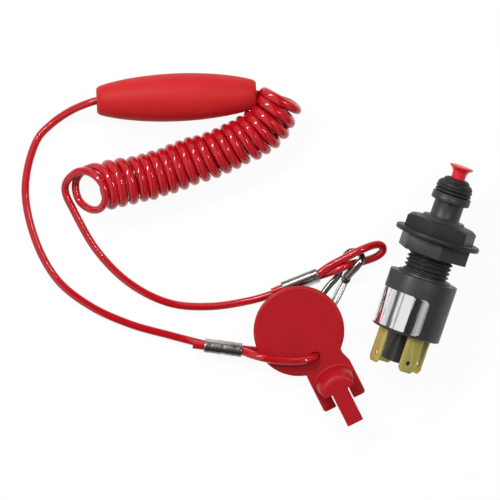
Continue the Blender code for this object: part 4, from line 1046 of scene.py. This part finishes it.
def make_spring(material):
    """Return spring above the contact carrier, drawn at one length; the real one shortens as the button
    is pulled.
    """
    steps = 84
    rise = SPRING_HIGH - SPRING_LOW
    helix = []
    for i in range(steps + 1):
        turn = math.tau * SPRING_TURNS * i / steps
        x, y = SPRING_RADIUS * math.cos(turn), SPRING_RADIUS * math.sin(turn)
        helix.append(SWITCH @ Vector((x, y, SPRING_LOW + rise * i / steps)))
    piece = swept_bar("return_coil", helix, SPRING_WIRE)
    put(piece, Matrix(), "switch", "steel", material, "return_spring", angle=60)
    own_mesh(piece)


# Room


def seen_share(tree, path):
    """1 on camera and glossy rays, 0 on the others."""
    return maths(tree, "MAXIMUM", path.outputs["Is Camera Ray"], path.outputs["Is Glossy Ray"])


def make_floor():
    """A white sheet that looks evenly lit and still takes a faint shadow."""
    deselect()
    bpy.ops.mesh.primitive_plane_add(size=4, location=(0, 0, -0.0001))
    floor = bpy.context.active_object
    floor.name = "floor"
    material = bpy.data.materials.new("white_sheet")
    material.use_nodes = True
    tree = material.node_tree
    shader = tree.nodes["Principled BSDF"]
    shader.inputs["Base Color"].default_value = (0.9, 0.9, 0.9, 1)
    shader.inputs["Roughness"].default_value = 0.9
    glow = tree.nodes.new("ShaderNodeEmission")
    seen = seen_share(tree, tree.nodes.new("ShaderNodeLightPath"))
    mix = tree.nodes.new("ShaderNodeMixShader")
    output = tree.nodes["Material Output"]
    tree.links.new(maths(tree, "MULTIPLY", seen, 0.93), mix.inputs["Fac"])
    tree.links.new(shader.outputs[0], mix.inputs[1])
    tree.links.new(glow.outputs[0], mix.inputs[2])
    tree.links.new(mix.outputs[0], output.inputs["Surface"])
    floor.data.materials.append(material)


def make_light():
    """Even light all round, a long softbox from the upper left and a weak one from the right.

    Glossy rays see a studio of pale panels and dark gaps, so that metal shows bands.
    """
    world = bpy.data.worlds.new("studio")
    bpy.context.scene.world = world
    world.use_nodes = True
    tree = world.node_tree
    background = tree.nodes["Background"]
    direction = tree.nodes.new("ShaderNodeTexCoord")
    across = tree.nodes.new("ShaderNodeVectorMath")
    across.operation = "DOT_PRODUCT"
    across.inputs[1].default_value = (0.473, -0.161, 0.0)
    panels = tree.nodes.new("ShaderNodeValToRGB")
    tree.links.new(direction.outputs["Generated"], across.inputs[0])
    tree.links.new(maths(tree, "ADD", across.outputs["Value"], 0.5), panels.inputs["Fac"])
    steps = [
        (0.0, 0.8), (0.02, 0.8), (0.03, 0.1), (0.07, 0.2), (0.09, 0.95), (0.13, 0.95), (0.15, 0.3),
        (0.18, 0.95), (0.43, 1.0), (0.46, 0.03), (0.65, 0.04), (0.69, 0.40), (0.80, 0.60),
        (0.86, 0.25), (1.0, 0.15),
    ]
    ramp = panels.color_ramp
    ramp.elements[0].position = steps[0][0]
    ramp.elements[1].position = steps[-1][0]
    for position, _ in steps[1:-1]:
        ramp.elements.new(position)
    for element, (_, level) in zip(ramp.elements, steps):
        element.color = (level, level, level, 1)
    path = tree.nodes.new("ShaderNodeLightPath")
    colour = tree.nodes.new("ShaderNodeMix")
    colour.data_type = "RGBA"
    colour.inputs[6].default_value = (1, 1, 1, 1)
    tree.links.new(path.outputs["Is Glossy Ray"], colour.inputs["Factor"])
    tree.links.new(panels.outputs["Color"], colour.inputs[7])
    tree.links.new(colour.outputs[2], background.inputs["Color"])
    strength = maths(tree, "MULTIPLY_ADD", seen_share(tree, path), 0.58, 0.42)
    tree.links.new(strength, background.inputs["Strength"])
    for name, place, length, width, energy in (
        ("softbox_left", (-0.36, 0.43, 0.64), 0.60, 0.07, 5.2),
        ("softbox_right", (0.30, 0.14, 0.70), 0.24, 0.05, 1.6),
    ):
        data = bpy.data.lights.new(name, "AREA")
        data.shape = "RECTANGLE"
        data.size = length
        data.size_y = width
        data.energy = energy
        lamp = bpy.data.objects.new(name, data)
        bpy.context.scene.collection.objects.link(lamp)
        lamp.location = Vector(place) + SHIFT
        lamp.rotation_euler = (SHIFT - lamp.location).to_track_quat("-Z", "Y").to_euler()


def make_camera():
    data = bpy.data.cameras.new("overhead")
    data.type = "ORTHO"
    data.ortho_scale = PICTURE_SIZE * PIXEL * MM
    camera = bpy.data.objects.new("overhead", data)
    bpy.context.scene.collection.objects.link(camera)
    camera.location = SHIFT + Vector((0, 0, 0.6))
    bpy.context.scene.camera = camera


finishes = make_finishes()
make_camera()
cord = make_cord(finishes["red_cord"])
float_piece = make_float(finishes["red_foam"])
key_sleeve = make_sleeve("key_sleeve", "ferrule_key", KEY_SLEEVE, finishes["crimp_metal"])
hook_sleeve = make_sleeve("hook_sleeve", "ferrule_hook", HOOK_SLEEVE, finishes["crimp_metal"])
# The hook's eye and bar take a darker copy of the nickel: painted shade.
hook_pieces = make_hook(finishes["nickel_painted_shade"], finishes["nickel"], finishes["steel"])
make_key(finishes["red_moulding"])
make_housing(finishes["black_plastic"])
make_label(finishes["foil"])
make_plug(finishes["black_plastic"])
make_blades(finishes["brass"])
# The front nut's darker grey is painted shade.
make_nuts(finishes["grey_plastic"], finishes["grey_plastic_painted_shade"])
make_boot(finishes["black_rubber"])
make_button(finishes["red_button"])
make_spring(finishes["steel"])
hidden_pieces = {"plunger": "black_plastic", "contact_bridge_1": "brass", "contact_bridge_2": "brass"}
for node, surface in hidden_pieces.items():
    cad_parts[node].data.materials.clear()
    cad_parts[node].data.materials.append(finishes[surface])
make_floor()
make_light()
bpy.context.scene.view_settings.view_transform = "Standard"
